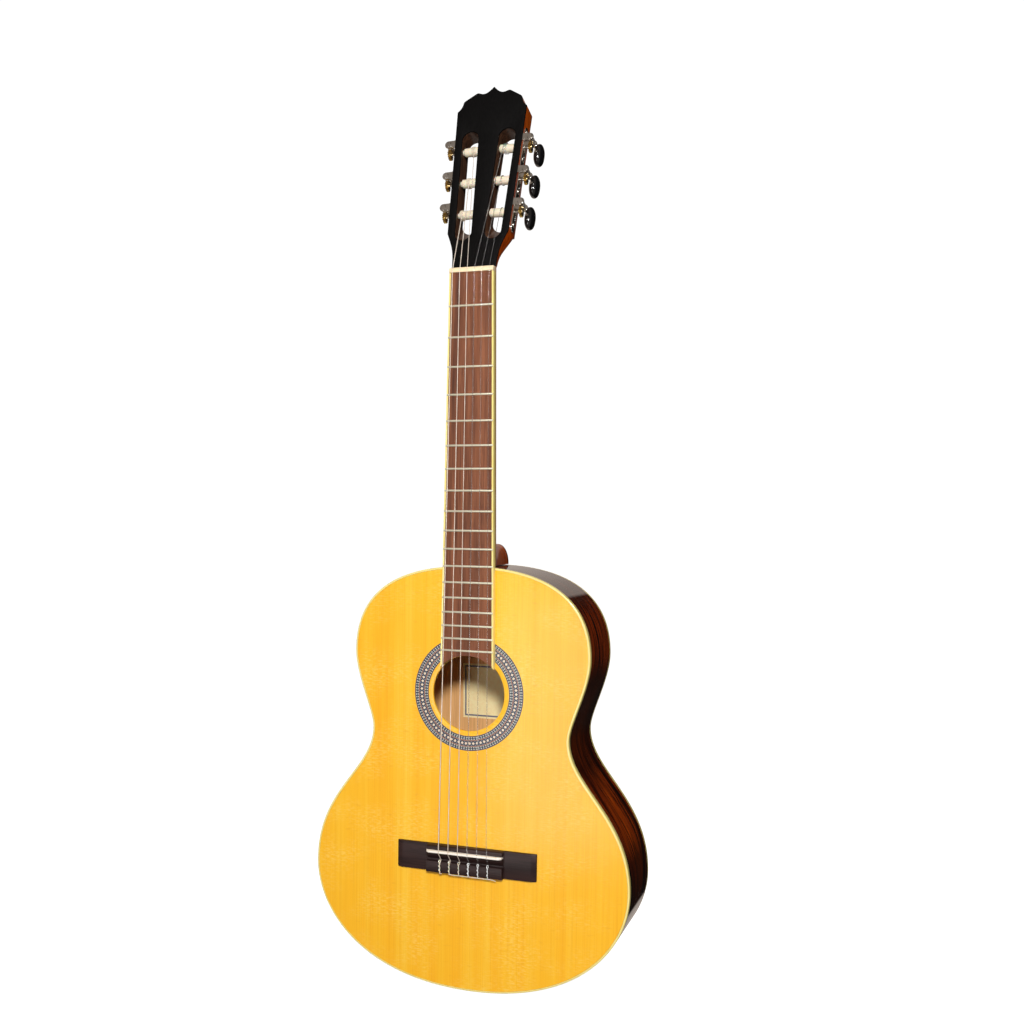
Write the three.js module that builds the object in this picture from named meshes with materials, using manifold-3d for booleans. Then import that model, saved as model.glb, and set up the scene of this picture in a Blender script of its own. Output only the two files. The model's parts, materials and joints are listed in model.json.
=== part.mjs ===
// Classical guitar: a hollow braced body, a neck with a slotted head, and six worm-geared tuners.
//
// Millimetres. x = 0 is the plane of symmetry and +X the treble side. y = 0 is the outer face of the
// soundboard and +Y runs into the body. z = 0 is the front edge of the nut and +Z runs up to the head.

import * as THREE from 'three';
import { mergeVertices } from 'three/addons/utils/BufferGeometryUtils.js';
import Module from 'manifold-3d';

const wasm = await Module();
wasm.setup();

// ---------------------------------------------------------------- driving dimensions

const GAP = 0.2;                      // left between pieces glued along a cut or curved face

const SCALE = 650;                    // nut to saddle
const FRETS = 18;
const NUT_HALF = 26;
const JOINT_HALF = 30.35;             // half the fingerboard's width where it meets the body
const BOARD_THICK = 7;
const BOARD_BINDING = 2;
const FRET_WIDTH = 2.2;
const FRET_HIGH = 1;

const UPPER_BOUT = { half: 141.5, z: -425.5 };
const WAIST = { half: 118.5, z: -515 };
const LOWER_BOUT = { half: 190.5, z: -680 };
const BODY_TOP = -325;
const BODY_TAIL = -813;
const DEPTH_TOP = 90;                 // at the rim, beside the heel
const DEPTH_TAIL = 103;
const BACK_ARCH = 4;                  // rise of the back across the lower bout
const PLATE_THICK = 2.5;              // soundboard and back
const SIDE_THICK = 2;
const BINDING = { wide: 2.3, high: 6 };
const LINING = { wide: 6, high: 12 };

const HOLE_Z = -469;
const HOLE_RADIUS = 43;
const ROSETTE = { inner: 48.7, outer: 65.6, thick: 1.2 };

const HEAD_TILT = THREE.MathUtils.degToRad(15.4);
const HEAD_START = { y: -0.5, z: 6 }; // where the head's face meets the nut
const HEAD_THICK = 23;
const VENEER_THICK = 2;
const HEAD_CORNER = { half: 36.2, s: 43.5 };
const HEAD_SHOULDER = { half: 41.9, s: 198 };
const SLOT = { half: 10, low: { x: 17.7, s: 44.5 }, high: { x: 22.2, s: 161.3 }, ramp: 20 };

const NUT = { thick: 5.6, top: 8.8 };
const SADDLE = { z: -651.5, thick: 2.6, half: 45.5, top: 13.2, foot: 3.2 };
const BRIDGE = { half: 84.5, top: -644.5, bottom: -676, wing: 3.6, tip: 1.6, centre: 46 };
const RAMP = { high: 8.4, back: -656 };   // the block that holds the saddle
const TIE = { z: -663, high: 9.4, hole: 4.8 };

const STRING_RADIUS = [0.36, 0.41, 0.51, 0.37, 0.45, 0.55];   // first string to sixth
const NUT_SPAN = 43;
const SADDLE_SPAN = 58;

const TUNER_PITCH = 40;               // from one roller to the next
const TUNER_CENTRE = 110;             // middle roller, along the head
const ROLLER = { radius: 5, depth: 9.5 };
const GEAR = { teeth: 14, pitch: 2.5, from: 7.2, thick: 2.8, tip: 0.6, root: 0.85 };
const GEAR_RADIUS = GEAR.teeth * GEAR.pitch / (2 * Math.PI);
const WORM = { radius: 2.9, core: 2.1, tip: 3.5, turns: 2.2, journal: 1.4 };
const WORM_OFFSET = GEAR_RADIUS + WORM.radius + 0.1;
const BUTTON = { depth: 39, thick: 11.5, long: 19, wide: 26.5 };

const COLOURS = {
  spruce: { color: 0xf2b23c, roughness: 0.3, metalness: 0 },
  rosewood: { color: 0x3a1710, roughness: 0.15, metalness: 0 },
  board: { color: 0x6b3a2a, roughness: 0.6, metalness: 0 },
  ebony: { color: 0x17110f, roughness: 0.45, metalness: 0 },
  mahogany: { color: 0x8a3512, roughness: 0.2, metalness: 0 },
  black: { color: 0x0b0b0c, roughness: 0.35, metalness: 0 },
  binding: { color: 0xf3e08a, roughness: 0.3, metalness: 0 },
  bone: { color: 0xf3d9a8, roughness: 0.4, metalness: 0 },
  ivory: { color: 0xe8dcc0, roughness: 0.4, metalness: 0 },
  inlay: { color: 0x6d7488, roughness: 0.4, metalness: 0 },
  lining: { color: 0xc9a26b, roughness: 0.8, metalness: 0 },
  nickel: { color: 0xb9b4aa, roughness: 0.25, metalness: 1 },
  brass: { color: 0xb58a33, roughness: 0.35, metalness: 1 },
  gut: { color: 0xd9d6cf, roughness: 0.3, metalness: 0 },
  wound: { color: 0xb9afa0, roughness: 0.35, metalness: 0.8 },
};

// ---------------------------------------------------------------- solids

function signedVolume(points, triangles) {
  let sum = 0;
  const corner = [0, 1, 2].map(() => new THREE.Vector3());
  for (let i = 0; i < triangles.length; i += 3) {
    corner.forEach((c, k) => c.fromArray(points, 3 * triangles[i + k]));
    sum += corner[0].dot(corner[1].clone().cross(corner[2]));
  }
  return sum;
}

// A closed three.js geometry as a solid that can be joined and cut.
function solid(geometry) {
  const bare = new THREE.BufferGeometry();
  bare.setAttribute('position', geometry.getAttribute('position'));
  bare.setIndex(geometry.index);
  const merged = mergeVertices(bare, 1e-3);
  const points = new Float32Array(merged.getAttribute('position').array);
  const index = merged.index.array;
  const triangles = [];
  for (let i = 0; i < index.length; i += 3) {
    const [a, b, c] = [index[i], index[i + 1], index[i + 2]];
    if (a !== b && b !== c && c !== a) triangles.push(a, b, c);
  }
  if (signedVolume(points, triangles) < 0) triangles.reverse();
  const mesh = new wasm.Mesh({
    numProp: 3,
    vertProperties: points,
    triVerts: new Uint32Array(triangles),
  });
  mesh.merge();
  return new wasm.Manifold(mesh);
}

function geometryOf(body) {
  const mesh = body.getMesh();
  const geometry = new THREE.BufferGeometry();
  geometry.setAttribute('position', new THREE.BufferAttribute(new Float32Array(mesh.vertProperties), 3));
  geometry.setIndex(new THREE.BufferAttribute(new Uint32Array(mesh.triVerts), 1));
  geometry.computeVertexNormals();
  return geometry;
}

function piece(name, body, colour) {
  const mesh = new THREE.Mesh(geometryOf(body), new THREE.MeshStandardMaterial(COLOURS[colour]));
  mesh.name = name;
  return mesh;
}

// An outline through points, turned anticlockwise so that holes can be cut in it.
function shapeOf(points) {
  const outline = points.map(([u, v]) => new THREE.Vector2(u, v));
  return new THREE.Shape(THREE.ShapeUtils.isClockWise(outline) ? outline.reverse() : outline);
}

function extruded(shape, depth, curveSegments) {
  return new THREE.ExtrudeGeometry(shape, { depth, bevelEnabled: false, curveSegments });
}

// A shape drawn in x and z, thickened from y0 to y1.
function slab(shape, y0, y1, curveSegments = 12) {
  return solid(extruded(shape, y1 - y0, curveSegments).rotateX(Math.PI / 2).translate(0, y1, 0));
}

// A profile drawn in x and y, drawn out from z0 to z1.
function alongZ(shape, z0, z1) {
  return solid(extruded(shape, z1 - z0, 12).translate(0, 0, z0));
}

// A profile drawn in y and z, drawn out from x0 to x1.
function alongX(shape, x0, x1) {
  const turn = new THREE.Matrix4().makeBasis(
    new THREE.Vector3(0, 1, 0),
    new THREE.Vector3(0, 0, 1),
    new THREE.Vector3(1, 0, 0),
  );
  return solid(extruded(shape, x1 - x0, 3).applyMatrix4(turn).translate(x0, 0, 0));
}

function box([x0, x1], [y0, y1], [z0, z1]) {
  const geometry = new THREE.BoxGeometry(x1 - x0, y1 - y0, z1 - z0);
  return solid(geometry.translate((x0 + x1) / 2, (y0 + y1) / 2, (z0 + z1) / 2));
}

// A turned piece: the profile is pairs of radius and distance along the axis, which is y.
function turned(profile, sides) {
  return solid(new THREE.LatheGeometry(profile.map(([r, h]) => new THREE.Vector2(r, h)), sides));
}

function rod(radius, y0, y1, sides = 12) {
  return turned([[0, y0], [radius, y0], [radius, y1], [0, y1]], sides);
}

// A skin over closed rings of equal length, with a flat fan across each end.
function loft(rings) {
  const count = rings[0].length;
  const index = [];
  for (let r = 0; r + 1 < rings.length; r++) {
    for (let i = 0; i < count; i++) {
      const a = r * count + i;
      const b = r * count + (i + 1) % count;
      index.push(a, b, a + count, b, b + count, a + count);
    }
  }
  const last = (rings.length - 1) * count;
  for (let i = 1; i + 1 < count; i++) {
    index.push(0, i + 1, i, last, last + i, last + i + 1);
  }
  const geometry = new THREE.BufferGeometry().setFromPoints(rings.flat());
  return solid(geometry.setIndex(index));
}

// A ring with a flat front and a rounded back, squarer as squareness rises; place() puts it in space.
function roundedRing(half, depth, squareness, place, steps = 10) {
  const ring = [];
  for (let i = 0; i <= steps; i++) {
    const angle = Math.PI * i / steps;
    const across = Math.cos(angle);
    const down = i % steps === 0 ? 0 : Math.sin(angle);
    const x = half * Math.sign(across) * Math.abs(across) ** (2 / squareness);
    ring.push(place(x, depth * down ** (2 / squareness)));
  }
  return ring;
}

function joined(bodies) {
  return bodies.reduce((whole, next) => whole.add(next));
}

// ---------------------------------------------------------------- the body's outline

function bezier(...points) {
  return new THREE.CubicBezierCurve(...points.map(([u, v]) => new THREE.Vector2(u, v)));
}

const UPPER_POINT = [UPPER_BOUT.half, UPPER_BOUT.z];
const WAIST_POINT = [WAIST.half, WAIST.z];
const LOWER_POINT = [LOWER_BOUT.half, LOWER_BOUT.z];
const HALF_OUTLINE = [
  bezier([0, BODY_TOP], [103, BODY_TOP], [UPPER_BOUT.half, -367], UPPER_POINT),
  bezier(UPPER_POINT, [UPPER_BOUT.half, -456.5], [WAIST.half, -496.5], WAIST_POINT),
  bezier(WAIST_POINT, [WAIST.half, -566], [LOWER_BOUT.half, -593.5], LOWER_POINT),
  bezier(LOWER_POINT, [LOWER_BOUT.half, -742], [132, BODY_TAIL], [0, BODY_TAIL]),
];
const STEPS_PER_CURVE = 8;

// The treble half of the rim from heel to tail, moved inwards by inset.
function halfRim(inset) {
  const rim = [];
  HALF_OUTLINE.forEach((curve, c) => {
    for (let i = c === 0 ? 0 : 1; i <= STEPS_PER_CURVE; i++) {
      const t = i / STEPS_PER_CURVE;
      const at = curve.getPoint(t);
      const along = curve.getTangent(t);
      rim.push([at.x + inset * along.y, at.y - inset * along.x]);
    }
  });
  rim[0][0] = 0;
  rim[rim.length - 1][0] = 0;
  return rim;
}

function rim(inset) {
  const treble = halfRim(inset);
  const bass = treble.slice(1, -1).reverse().map(([x, z]) => [-x, z]);
  return [...treble, ...bass];
}

function rimRing(outerInset, innerInset) {
  const shape = shapeOf(rim(outerInset));
  shape.holes.push(new THREE.Path(rim(innerInset).map(([x, z]) => new THREE.Vector2(x, z))));
  return shape;
}

function circleRing(outer, inner) {
  const shape = new THREE.Shape().absarc(0, HOLE_Z, outer, 0, 2 * Math.PI);
  if (inner) shape.holes.push(new THREE.Path().absarc(0, HOLE_Z, inner, 0, 2 * Math.PI));
  return shape;
}

// ---------------------------------------------------------------- the arched back

const ARCH_HALF = 200;
const ARCH_STEPS = 14;
const ARCH_RADIUS = LOWER_BOUT.half ** 2 / (2 * BACK_ARCH);
const DEPTH_SLOPE = (DEPTH_TAIL - DEPTH_TOP) / (BODY_TOP - BODY_TAIL);

function archRise(x) {
  return Math.sqrt(ARCH_RADIUS ** 2 - x ** 2) - Math.sqrt(ARCH_RADIUS ** 2 - LOWER_BOUT.half ** 2);
}

// Everything between two distances from the back's outer surface, negative ones being inside.
function archLayer(from, to) {
  const across = [];
  for (let i = 0; i <= ARCH_STEPS; i++) {
    across.push(ARCH_HALF * (2 * i / ARCH_STEPS - 1));
  }
  const near = across.map((x) => [x, DEPTH_TOP + archRise(x) + from]);
  const far = across.map((x) => [x, DEPTH_TOP + archRise(x) + to]).reverse();
  const z0 = BODY_TAIL - 20;
  const length = BODY_TOP - BODY_TAIL + 40;
  const lean = new THREE.Matrix4().set(
    1, 0, 0, 0,
    0, 1, -DEPTH_SLOPE, DEPTH_SLOPE * BODY_TOP,
    0, 0, 1, 0,
    0, 0, 0, 1,
  );
  return solid(extruded(shapeOf([...near, ...far]), length, 1).translate(0, 0, z0).applyMatrix4(lean));
}

const FAR = 400;                      // beyond every part of the body
const BACK_INSIDE = -PLATE_THICK - GAP;
const LINING_INSET = BINDING.wide + 2 * GAP;
const INSIDE_LININGS = LINING_INSET + LINING.wide + GAP;

function soundboard() {
  const groove = slab(circleRing(ROSETTE.outer + GAP, ROSETTE.inner - GAP), -1, ROSETTE.thick + GAP, 20);
  return slab(shapeOf(rim(BINDING.wide + GAP)), 0, PLATE_THICK)
    .subtract(slab(circleRing(HOLE_RADIUS), -1, PLATE_THICK + 1, 20))
    .subtract(groove);
}

function side(sign) {
  const half = [...halfRim(0), ...halfRim(SIDE_THICK).reverse()].map(([x, z]) => [sign * x, z]);
  const own = sign > 0 ? [GAP / 2, FAR] : [-FAR, -GAP / 2];
  return slab(shapeOf(half), BINDING.high + GAP, DEPTH_TAIL + 20)
    .intersect(box(own, [0, FAR], [-900, 0]))
    .subtract(archLayer(-BINDING.high - GAP, 60));
}

function backLining() {
  const ring = slab(rimRing(LINING_INSET, LINING_INSET + LINING.wide), 40, DEPTH_TAIL + 20);
  return ring.intersect(archLayer(BACK_INSIDE - LINING.high, BACK_INSIDE));
}

// A block glued in at the heel or the tail, notched round both linings.
function endBlock(half, z0, z1) {
  const notch = rimRing(BINDING.wide, INSIDE_LININGS);
  return box([-half, half], [PLATE_THICK, DEPTH_TAIL + 20], [z0, z1])
    .intersect(slab(shapeOf(rim(LINING_INSET)), 0, DEPTH_TAIL + 20))
    .subtract(slab(notch, 0, PLATE_THICK + LINING.high + GAP))
    .subtract(slab(notch, 40, DEPTH_TAIL + 20).intersect(archLayer(BACK_INSIDE - LINING.high - GAP, 60)))
    .subtract(archLayer(BACK_INSIDE, 60));
}

function insideLinings(body) {
  return body.intersect(slab(shapeOf(rim(INSIDE_LININGS)), 0, DEPTH_TAIL + 20));
}

const BAR = { wide: 8, high: 15, upper: -402, lower: -541 };

// A bar across the soundboard whose ends are thinned down to meet the linings.
function harmonicBar(z, halfLength) {
  const ends = 32;
  const face = PLATE_THICK;
  const profile = shapeOf([
    [-halfLength, face], [halfLength, face], [halfLength, face + 4],
    [halfLength - ends, face + BAR.high], [ends - halfLength, face + BAR.high], [-halfLength, face + 4],
  ]);
  return insideLinings(alongZ(profile, z - BAR.wide / 2, z + BAR.wide / 2));
}

const FAN = { wide: 6, high: 5, top: -549, bottom: -775, hub: -330, spread: [-12, -6, 0, 6, 12] };
const PATCH = { half: 88, high: 2, top: -643, bottom: -678 };

// Five struts that spread from behind the lower bar, let into the patch that backs the bridge.
function fanBracing() {
  const struts = FAN.spread.map((degrees) => {
    const angle = THREE.MathUtils.degToRad(degrees);
    const reach = FAN.hub - FAN.bottom;
    const strut = new THREE.BoxGeometry(FAN.wide, FAN.high, reach);
    strut.translate(0, PLATE_THICK + FAN.high / 2, -reach / 2).rotateY(-angle);
    return solid(strut.translate(0, 0, FAN.hub));
  });
  const { half, high, top, bottom } = PATCH;
  const patch = box([-half, half], [PLATE_THICK, PLATE_THICK + high], [bottom, top]);
  return joined([patch, ...struts]).intersect(box([-FAR, FAR], [0, FAR], [FAN.bottom, FAN.top]));
}

const BACK_BRACE = { wide: 10, high: 15, places: [-405, -560, -700] };

function backBrace(z) {
  const bar = box([-FAR, FAR], [40, FAR], [z - BACK_BRACE.wide / 2, z + BACK_BRACE.wide / 2]);
  return insideLinings(bar.intersect(archLayer(BACK_INSIDE - BACK_BRACE.high, BACK_INSIDE)));
}

function bodyPieces() {
  const group = new THREE.Group();
  const top = slab(rimRing(0, BINDING.wide), 0, BINDING.high);
  const wholeRim = slab(rimRing(0, BINDING.wide), 40, DEPTH_TAIL + 20);
  const backPanel = slab(shapeOf(rim(BINDING.wide + GAP)), 40, DEPTH_TAIL + 20);
  const liningRing = rimRing(LINING_INSET, LINING_INSET + LINING.wide);
  const topLining = slab(liningRing, PLATE_THICK, PLATE_THICK + LINING.high);
  const rosette = slab(circleRing(ROSETTE.outer, ROSETTE.inner), 0, ROSETTE.thick, 20);
  group.add(
    piece('soundboard', soundboard(), 'spruce'),
    piece('rosette', rosette, 'inlay'),
    piece('top_binding', top, 'binding'),
    piece('side_treble', side(1), 'rosewood'),
    piece('side_bass', side(-1), 'rosewood'),
    piece('back', backPanel.intersect(archLayer(-PLATE_THICK, 0)), 'rosewood'),
    piece('back_binding', wholeRim.intersect(archLayer(-BINDING.high, 0)), 'binding'),
    piece('top_lining', topLining, 'lining'),
    piece('back_lining', backLining(), 'lining'),
    piece('neck_block', endBlock(30, -378, BODY_TOP + 5), 'mahogany'),
    piece('tail_block', endBlock(36, BODY_TAIL - 5, BODY_TAIL + 22), 'mahogany'),
    piece('harmonic_bar_upper', harmonicBar(BAR.upper, 128), 'spruce'),
    piece('harmonic_bar_lower', harmonicBar(BAR.lower, 114), 'spruce'),
    piece('fan_bracing', fanBracing(), 'spruce'),
  );
  BACK_BRACE.places.forEach((z, i) => {
    group.add(piece(`back_brace_${i + 1}`, backBrace(z), 'lining'));
  });
  return group;
}

// ---------------------------------------------------------------- neck and head

// Half the fingerboard's width at z, bindings included.
function boardHalf(z) {
  return NUT_HALF + (JOINT_HALF - NUT_HALF) * z / BODY_TOP;
}

// The head's frame: x across, y down through its thickness, z along its face from the nut.
function headFrame() {
  const group = new THREE.Group();
  group.position.set(0, HEAD_START.y, HEAD_START.z);
  group.rotation.x = -HEAD_TILT;
  return group;
}

const FLARE = bezier([NUT_HALF, 0], [26.5, 22], [29.5, 28], [HEAD_CORNER.half, HEAD_CORNER.s]);

// The treble half of the head above the flare, with a lobe beside the pointed crest.
function drawCrown(path) {
  path.lineTo(HEAD_SHOULDER.half, HEAD_SHOULDER.s);
  path.quadraticCurveTo(36.5, 202, 35.6, 209);
  path.quadraticCurveTo(35.2, 210.7, 33.5, 211.8);
  path.lineTo(21, 219.6);
  path.quadraticCurveTo(19.2, 220.7, 17, 219.8);
  path.bezierCurveTo(11, 217.1, 7.5, 218.1, 0, 226.5);
}

function headOutline(withFlare) {
  const half = new THREE.Path();
  half.moveTo(HEAD_CORNER.half, HEAD_CORNER.s);
  drawCrown(half);
  const crown = half.getPoints(5).map((p) => [p.x, p.y]);
  const flare = FLARE.getPoints(6).slice(0, -1).map((p) => [p.x, p.y]);
  const treble = withFlare ? [...flare, ...crown] : crown;
  const bass = treble.slice(0, -1).reverse().map(([x, s]) => [-x, s]);
  return shapeOf([...treble, ...bass]);
}

// A slot with round ends that leans outwards with the side of the head. Its end by the nut is a ramp,
// so that it is shorter at the back of the head than at the face.
function slotCutter(sign) {
  const { low, high, half, ramp } = SLOT;
  const slope = (high.x - low.x) / (high.s - low.s);
  const lean = sign * Math.atan(slope);
  const ring = (y, up) => {
    const shape = new THREE.Shape();
    shape.absarc(sign * (low.x + slope * up), low.s + up, half, Math.PI - lean, 2 * Math.PI - lean);
    shape.absarc(sign * high.x, high.s, half, -lean, Math.PI - lean);
    return shape.getPoints(5).map((p) => new THREE.Vector3(p.x, y, p.y));
  };
  return loft([ring(-5, 0), ring(0, 0), ring(HEAD_THICK, ramp), ring(HEAD_THICK + 5, ramp)]);
}

const SIDE_LEAN = Math.atan2(HEAD_SHOULDER.half - HEAD_CORNER.half, HEAD_SHOULDER.s - HEAD_CORNER.s);
const SIDE_AT_CENTRE = HEAD_CORNER.half + (TUNER_CENTRE - HEAD_CORNER.s) * Math.tan(SIDE_LEAN);

// The frame of one side's tuners, within the head's frame: its origin is on the side of the head
// beside the middle roller, z runs along that side, and x points to the treble.
function tunerFrame(sign) {
  const group = new THREE.Group();
  group.position.set(sign * SIDE_AT_CENTRE, 0, TUNER_CENTRE);
  group.rotation.y = sign * SIDE_LEAN;
  return group;
}

function tunerPlaces() {
  return [-TUNER_PITCH, 0, TUNER_PITCH];
}

// The slot's walls, as distances inwards from the side of the head at one roller.
function slotWalls(place) {
  const share = (TUNER_CENTRE + place - SLOT.low.s) / (SLOT.high.s - SLOT.low.s);
  const middle = SLOT.low.x + (SLOT.high.x - SLOT.low.x) * share;
  const edge = SIDE_AT_CENTRE + place * Math.tan(SIDE_LEAN);
  return { outer: middle + SLOT.half - edge, inner: middle - SLOT.half - edge };
}

// The bore for a roller: through the cheek and the slot, and 5 mm into the wood between the slots.
function rollerBore(sign, place) {
  const walls = slotWalls(place);
  const wide = rod(ROLLER.radius + 0.8, walls.outer - 4, 8, 8);
  const narrow = rod(3.6, walls.inner - 5, walls.outer, 8);
  return wide.add(narrow)
    .rotate([0, 0, -90 * sign])
    .translate([0, ROLLER.depth, place]);
}

function moveInto(body, matrix) {
  return body.transform(matrix.elements);
}

function headMatrix() {
  const head = headFrame();
  head.updateMatrixWorld(true);
  return head.matrixWorld;
}

function tunerMatrix(sign) {
  const tuners = tunerFrame(sign);
  headFrame().add(tuners);
  tuners.parent.updateMatrixWorld(true);
  return tuners.matrixWorld;
}

const HEEL_START = BODY_TOP - 4;        // inside the body, so that the rim cuts the neck's end
const HEAD_UNDER = VENEER_THICK + GAP;  // where the neck's own wood starts below the head's face
const SHAFT = { atNut: 15, deeper: 2.5, squareness: 2.3, places: [-290, -200, -100, -40, 0] };
const THROAT = 12.4;                    // depth of the wood just behind the nut

// The shaft, which stays round as far as the nut and squares up through the flare of the head.
function neckShaft() {
  const rings = [HEEL_START, ...SHAFT.places, HEAD_START.z].map((z) => {
    const depth = SHAFT.atNut + SHAFT.deeper * z / BODY_TOP;
    const half = boardHalf(Math.min(z, 0));
    return roundedRing(half, depth, SHAFT.squareness, (x, y) => new THREE.Vector3(x, y, z));
  });
  const intoHead = headMatrix();
  FLARE.getPoints(5).slice(1).forEach(({ x: half, y: s }, i, all) => {
    const grown = (i + 1) / all.length;
    const depth = THROAT + (HEAD_THICK - HEAD_UNDER - THROAT) * grown ** 0.8;
    const place = (x, y) => new THREE.Vector3(x, HEAD_UNDER + y, s).applyMatrix4(intoHead);
    rings.push(roundedRing(half, depth, 2.5 + 9 * grown ** 2, place));
  });
  return loft(rings);
}

const HEEL = { depths: [9, 14, 20, 28, 40, 60], long: 66, wide: 24, footLong: 24, footWide: 14, cap: 3 };
const HEEL_FOOT = DEPTH_TOP + BACK_ARCH - HEEL.cap;

// The heel sweeps from the back of the neck down to a narrow foot against the body.
function heelRing(y) {
  const share = (HEEL_FOOT - y) / (HEEL_FOOT - HEEL.depths[0]);
  const long = HEEL.footLong + (HEEL.long - HEEL.footLong) * share ** 5 + BODY_TOP - HEEL_START;
  const half = HEEL.footWide + (HEEL.wide - HEEL.footWide) * share ** 1.3;
  return roundedRing(half, long, 2.1, (x, z) => new THREE.Vector3(x, y, HEEL_START + z));
}

function bodyCutter() {
  return slab(shapeOf(rim(-2 * GAP)), -20, DEPTH_TAIL + 20);
}

function neck() {
  const heel = loft([...HEEL.depths, HEEL_FOOT].map(heelRing));
  const intoHead = headMatrix();
  const head = moveInto(slab(headOutline(false), HEAD_UNDER, HEAD_THICK), intoHead);
  const underVeneer = box([-FAR, FAR], [-30, HEAD_UNDER], [-GAP, FAR]);
  let wood = joined([neckShaft(), heel, head])
    .subtract(bodyCutter())
    .subtract(moveInto(underVeneer, intoHead));
  for (const sign of [-1, 1]) {
    wood = wood.subtract(moveInto(slotCutter(sign), intoHead));
    for (const place of tunerPlaces()) {
      wood = wood.subtract(moveInto(rollerBore(sign, place), tunerMatrix(sign)));
    }
  }
  return wood;
}

function heelCap() {
  const lower = heelRing(HEEL_FOOT).map((p) => p.setY(HEEL_FOOT + GAP));
  const upper = lower.map((p) => p.clone().setY(HEEL_FOOT + HEEL.cap));
  return loft([lower, upper]).subtract(bodyCutter());
}

function headVeneer() {
  return slab(headOutline(true), 0, VENEER_THICK)
    .subtract(slotCutter(1))
    .subtract(slotCutter(-1));
}

// ---------------------------------------------------------------- fingerboard, nut and bridge

const BOARD_END = HOLE_Z + 25;        // past the corners that the soundhole's arc leaves

function boardStrip(inset0, inset1) {
  return shapeOf([
    [boardHalf(0) - inset0, 0], [boardHalf(BOARD_END) - inset0, BOARD_END],
    [inset1(BOARD_END), BOARD_END], [inset1(0), 0],
  ]);
}

function cutAtHole(body) {
  return body.subtract(slab(circleRing(HOLE_RADIUS + 0.5), -20, 5, 20));
}

// The board with its frets, each a crown as wide as the board over a tang let into a slot.
function fingerboard() {
  const own = BOARD_BINDING + GAP / 2;
  const strip = boardStrip(own, (z) => own - boardHalf(z));
  let board = cutAtHole(slab(strip, -BOARD_THICK, 0));
  for (let n = 1; n <= FRETS; n++) {
    const z = -SCALE * (1 - 2 ** (-n / 12));
    const half = boardHalf(z) - 0.4;
    const top = -BOARD_THICK - FRET_HIGH;
    const foot = FRET_WIDTH / 2;
    const crown = shapeOf([
      [-BOARD_THICK, z - foot], [top, z - 0.45], [top, z + 0.45], [-BOARD_THICK, z + foot],
    ]);
    const tang = box([own - half, half - own], [-BOARD_THICK, 1.8 - BOARD_THICK], [z - 0.3, z + 0.3]);
    board = board.add(alongX(crown, -half, half)).add(tang);
  }
  return board;
}

function boardBinding(sign) {
  const strip = boardStrip(0, (z) => boardHalf(z) - BOARD_BINDING);
  const treble = cutAtHole(slab(strip, -BOARD_THICK, 0));
  return sign > 0 ? treble : treble.mirror([1, 0, 0]);
}

// The nut's top slopes back from the string's bearing edge and drops at its rear corner.
function nut() {
  const { top, thick } = NUT;
  const profile = shapeOf([
    [0, 0.05], [-top, 0.05], [0.8 - top, thick - 1.5], [2 - top, thick], [0, thick],
  ]);
  return alongX(profile, -NUT_HALF, NUT_HALF);
}

// Low wings with sloping ends; between them the saddle's block, a channel, and the tie block.
function bridge() {
  const { half, wing, tip, centre, top, bottom } = BRIDGE;
  const wings = shapeOf([
    [-half, 0], [half, 0], [half, -tip], [half - 5, -wing], [5 - half, -wing], [-half, -tip],
  ]);
  const middle = shapeOf([
    [0, bottom], [0, top], [3 - RAMP.high, top], [-RAMP.high, top - 2], [-RAMP.high, RAMP.back],
    [-wing, RAMP.back - 5], [-wing, TIE.z], [-TIE.high, TIE.z], [-TIE.high, bottom + 1],
    [1 - TIE.high, bottom],
  ]);
  const clear = 0.15;
  const along = SADDLE.half + clear;
  const slotZ = [SADDLE.z - SADDLE.thick / 2 - clear, SADDLE.z + SADDLE.thick / 2 + clear];
  const saddleSlot = box([-along, along], [-20, 0.2 - SADDLE.foot], slotZ);
  let wood = alongZ(wings, bottom, top).add(alongX(middle, -centre, centre)).subtract(saddleSlot);
  for (let n = 1; n <= 6; n++) {
    const hole = rod(1, 0, 20, 8).rotate([-90, 0, 0]);
    wood = wood.subtract(hole.translate([stringX(n, SADDLE_SPAN), -TIE.hole, TIE.z + 2]));
  }
  return wood;
}

function saddle() {
  const half = SADDLE.thick / 2;
  const { z, top, foot } = SADDLE;
  const profile = shapeOf([
    [-foot, z - half], [-foot, z + half], [0.7 - top, z + half], [-top, z + 0.3], [-top, z - 0.3],
    [0.7 - top, z - half],
  ]);
  return alongX(profile, -SADDLE.half, SADDLE.half);
}

// ---------------------------------------------------------------- strings

// A route through given points, so that an extrusion puts one ring at each of them.
class Route extends THREE.Curve {
  constructor(points) {
    super();
    this.points = points;
  }

  getPoint(t, target = new THREE.Vector3()) {
    const at = t * (this.points.length - 1);
    const i = Math.min(Math.floor(at), this.points.length - 2);
    return target.lerpVectors(this.points[i], this.points[i + 1], at - i);
  }

  getPointAt(u, target) {
    return this.getPoint(u, target);
  }

  getTangentAt(u) {
    const i = Math.round(u * (this.points.length - 1));
    const before = this.points[Math.max(i - 1, 0)];
    const after = this.points[Math.min(i + 1, this.points.length - 1)];
    return after.clone().sub(before).normalize();
  }
}

// String 1 is the highest and lies on the treble side.
function stringX(n, span) {
  return span / 2 - (n - 1) * span / 5;
}

// The rollers nearest the nut take the outer strings, and the far ones the inner strings.
function rollerOf(n) {
  const sign = n <= 3 ? 1 : -1;
  const rank = n <= 3 ? n - 1 : 6 - n;
  return { sign, place: tunerPlaces()[rank], rank };
}

// Where along its roller each string is wound, inwards from the side of the head.
const WOUND_AT = [-14.5, -19.5, -22.5];

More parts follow.
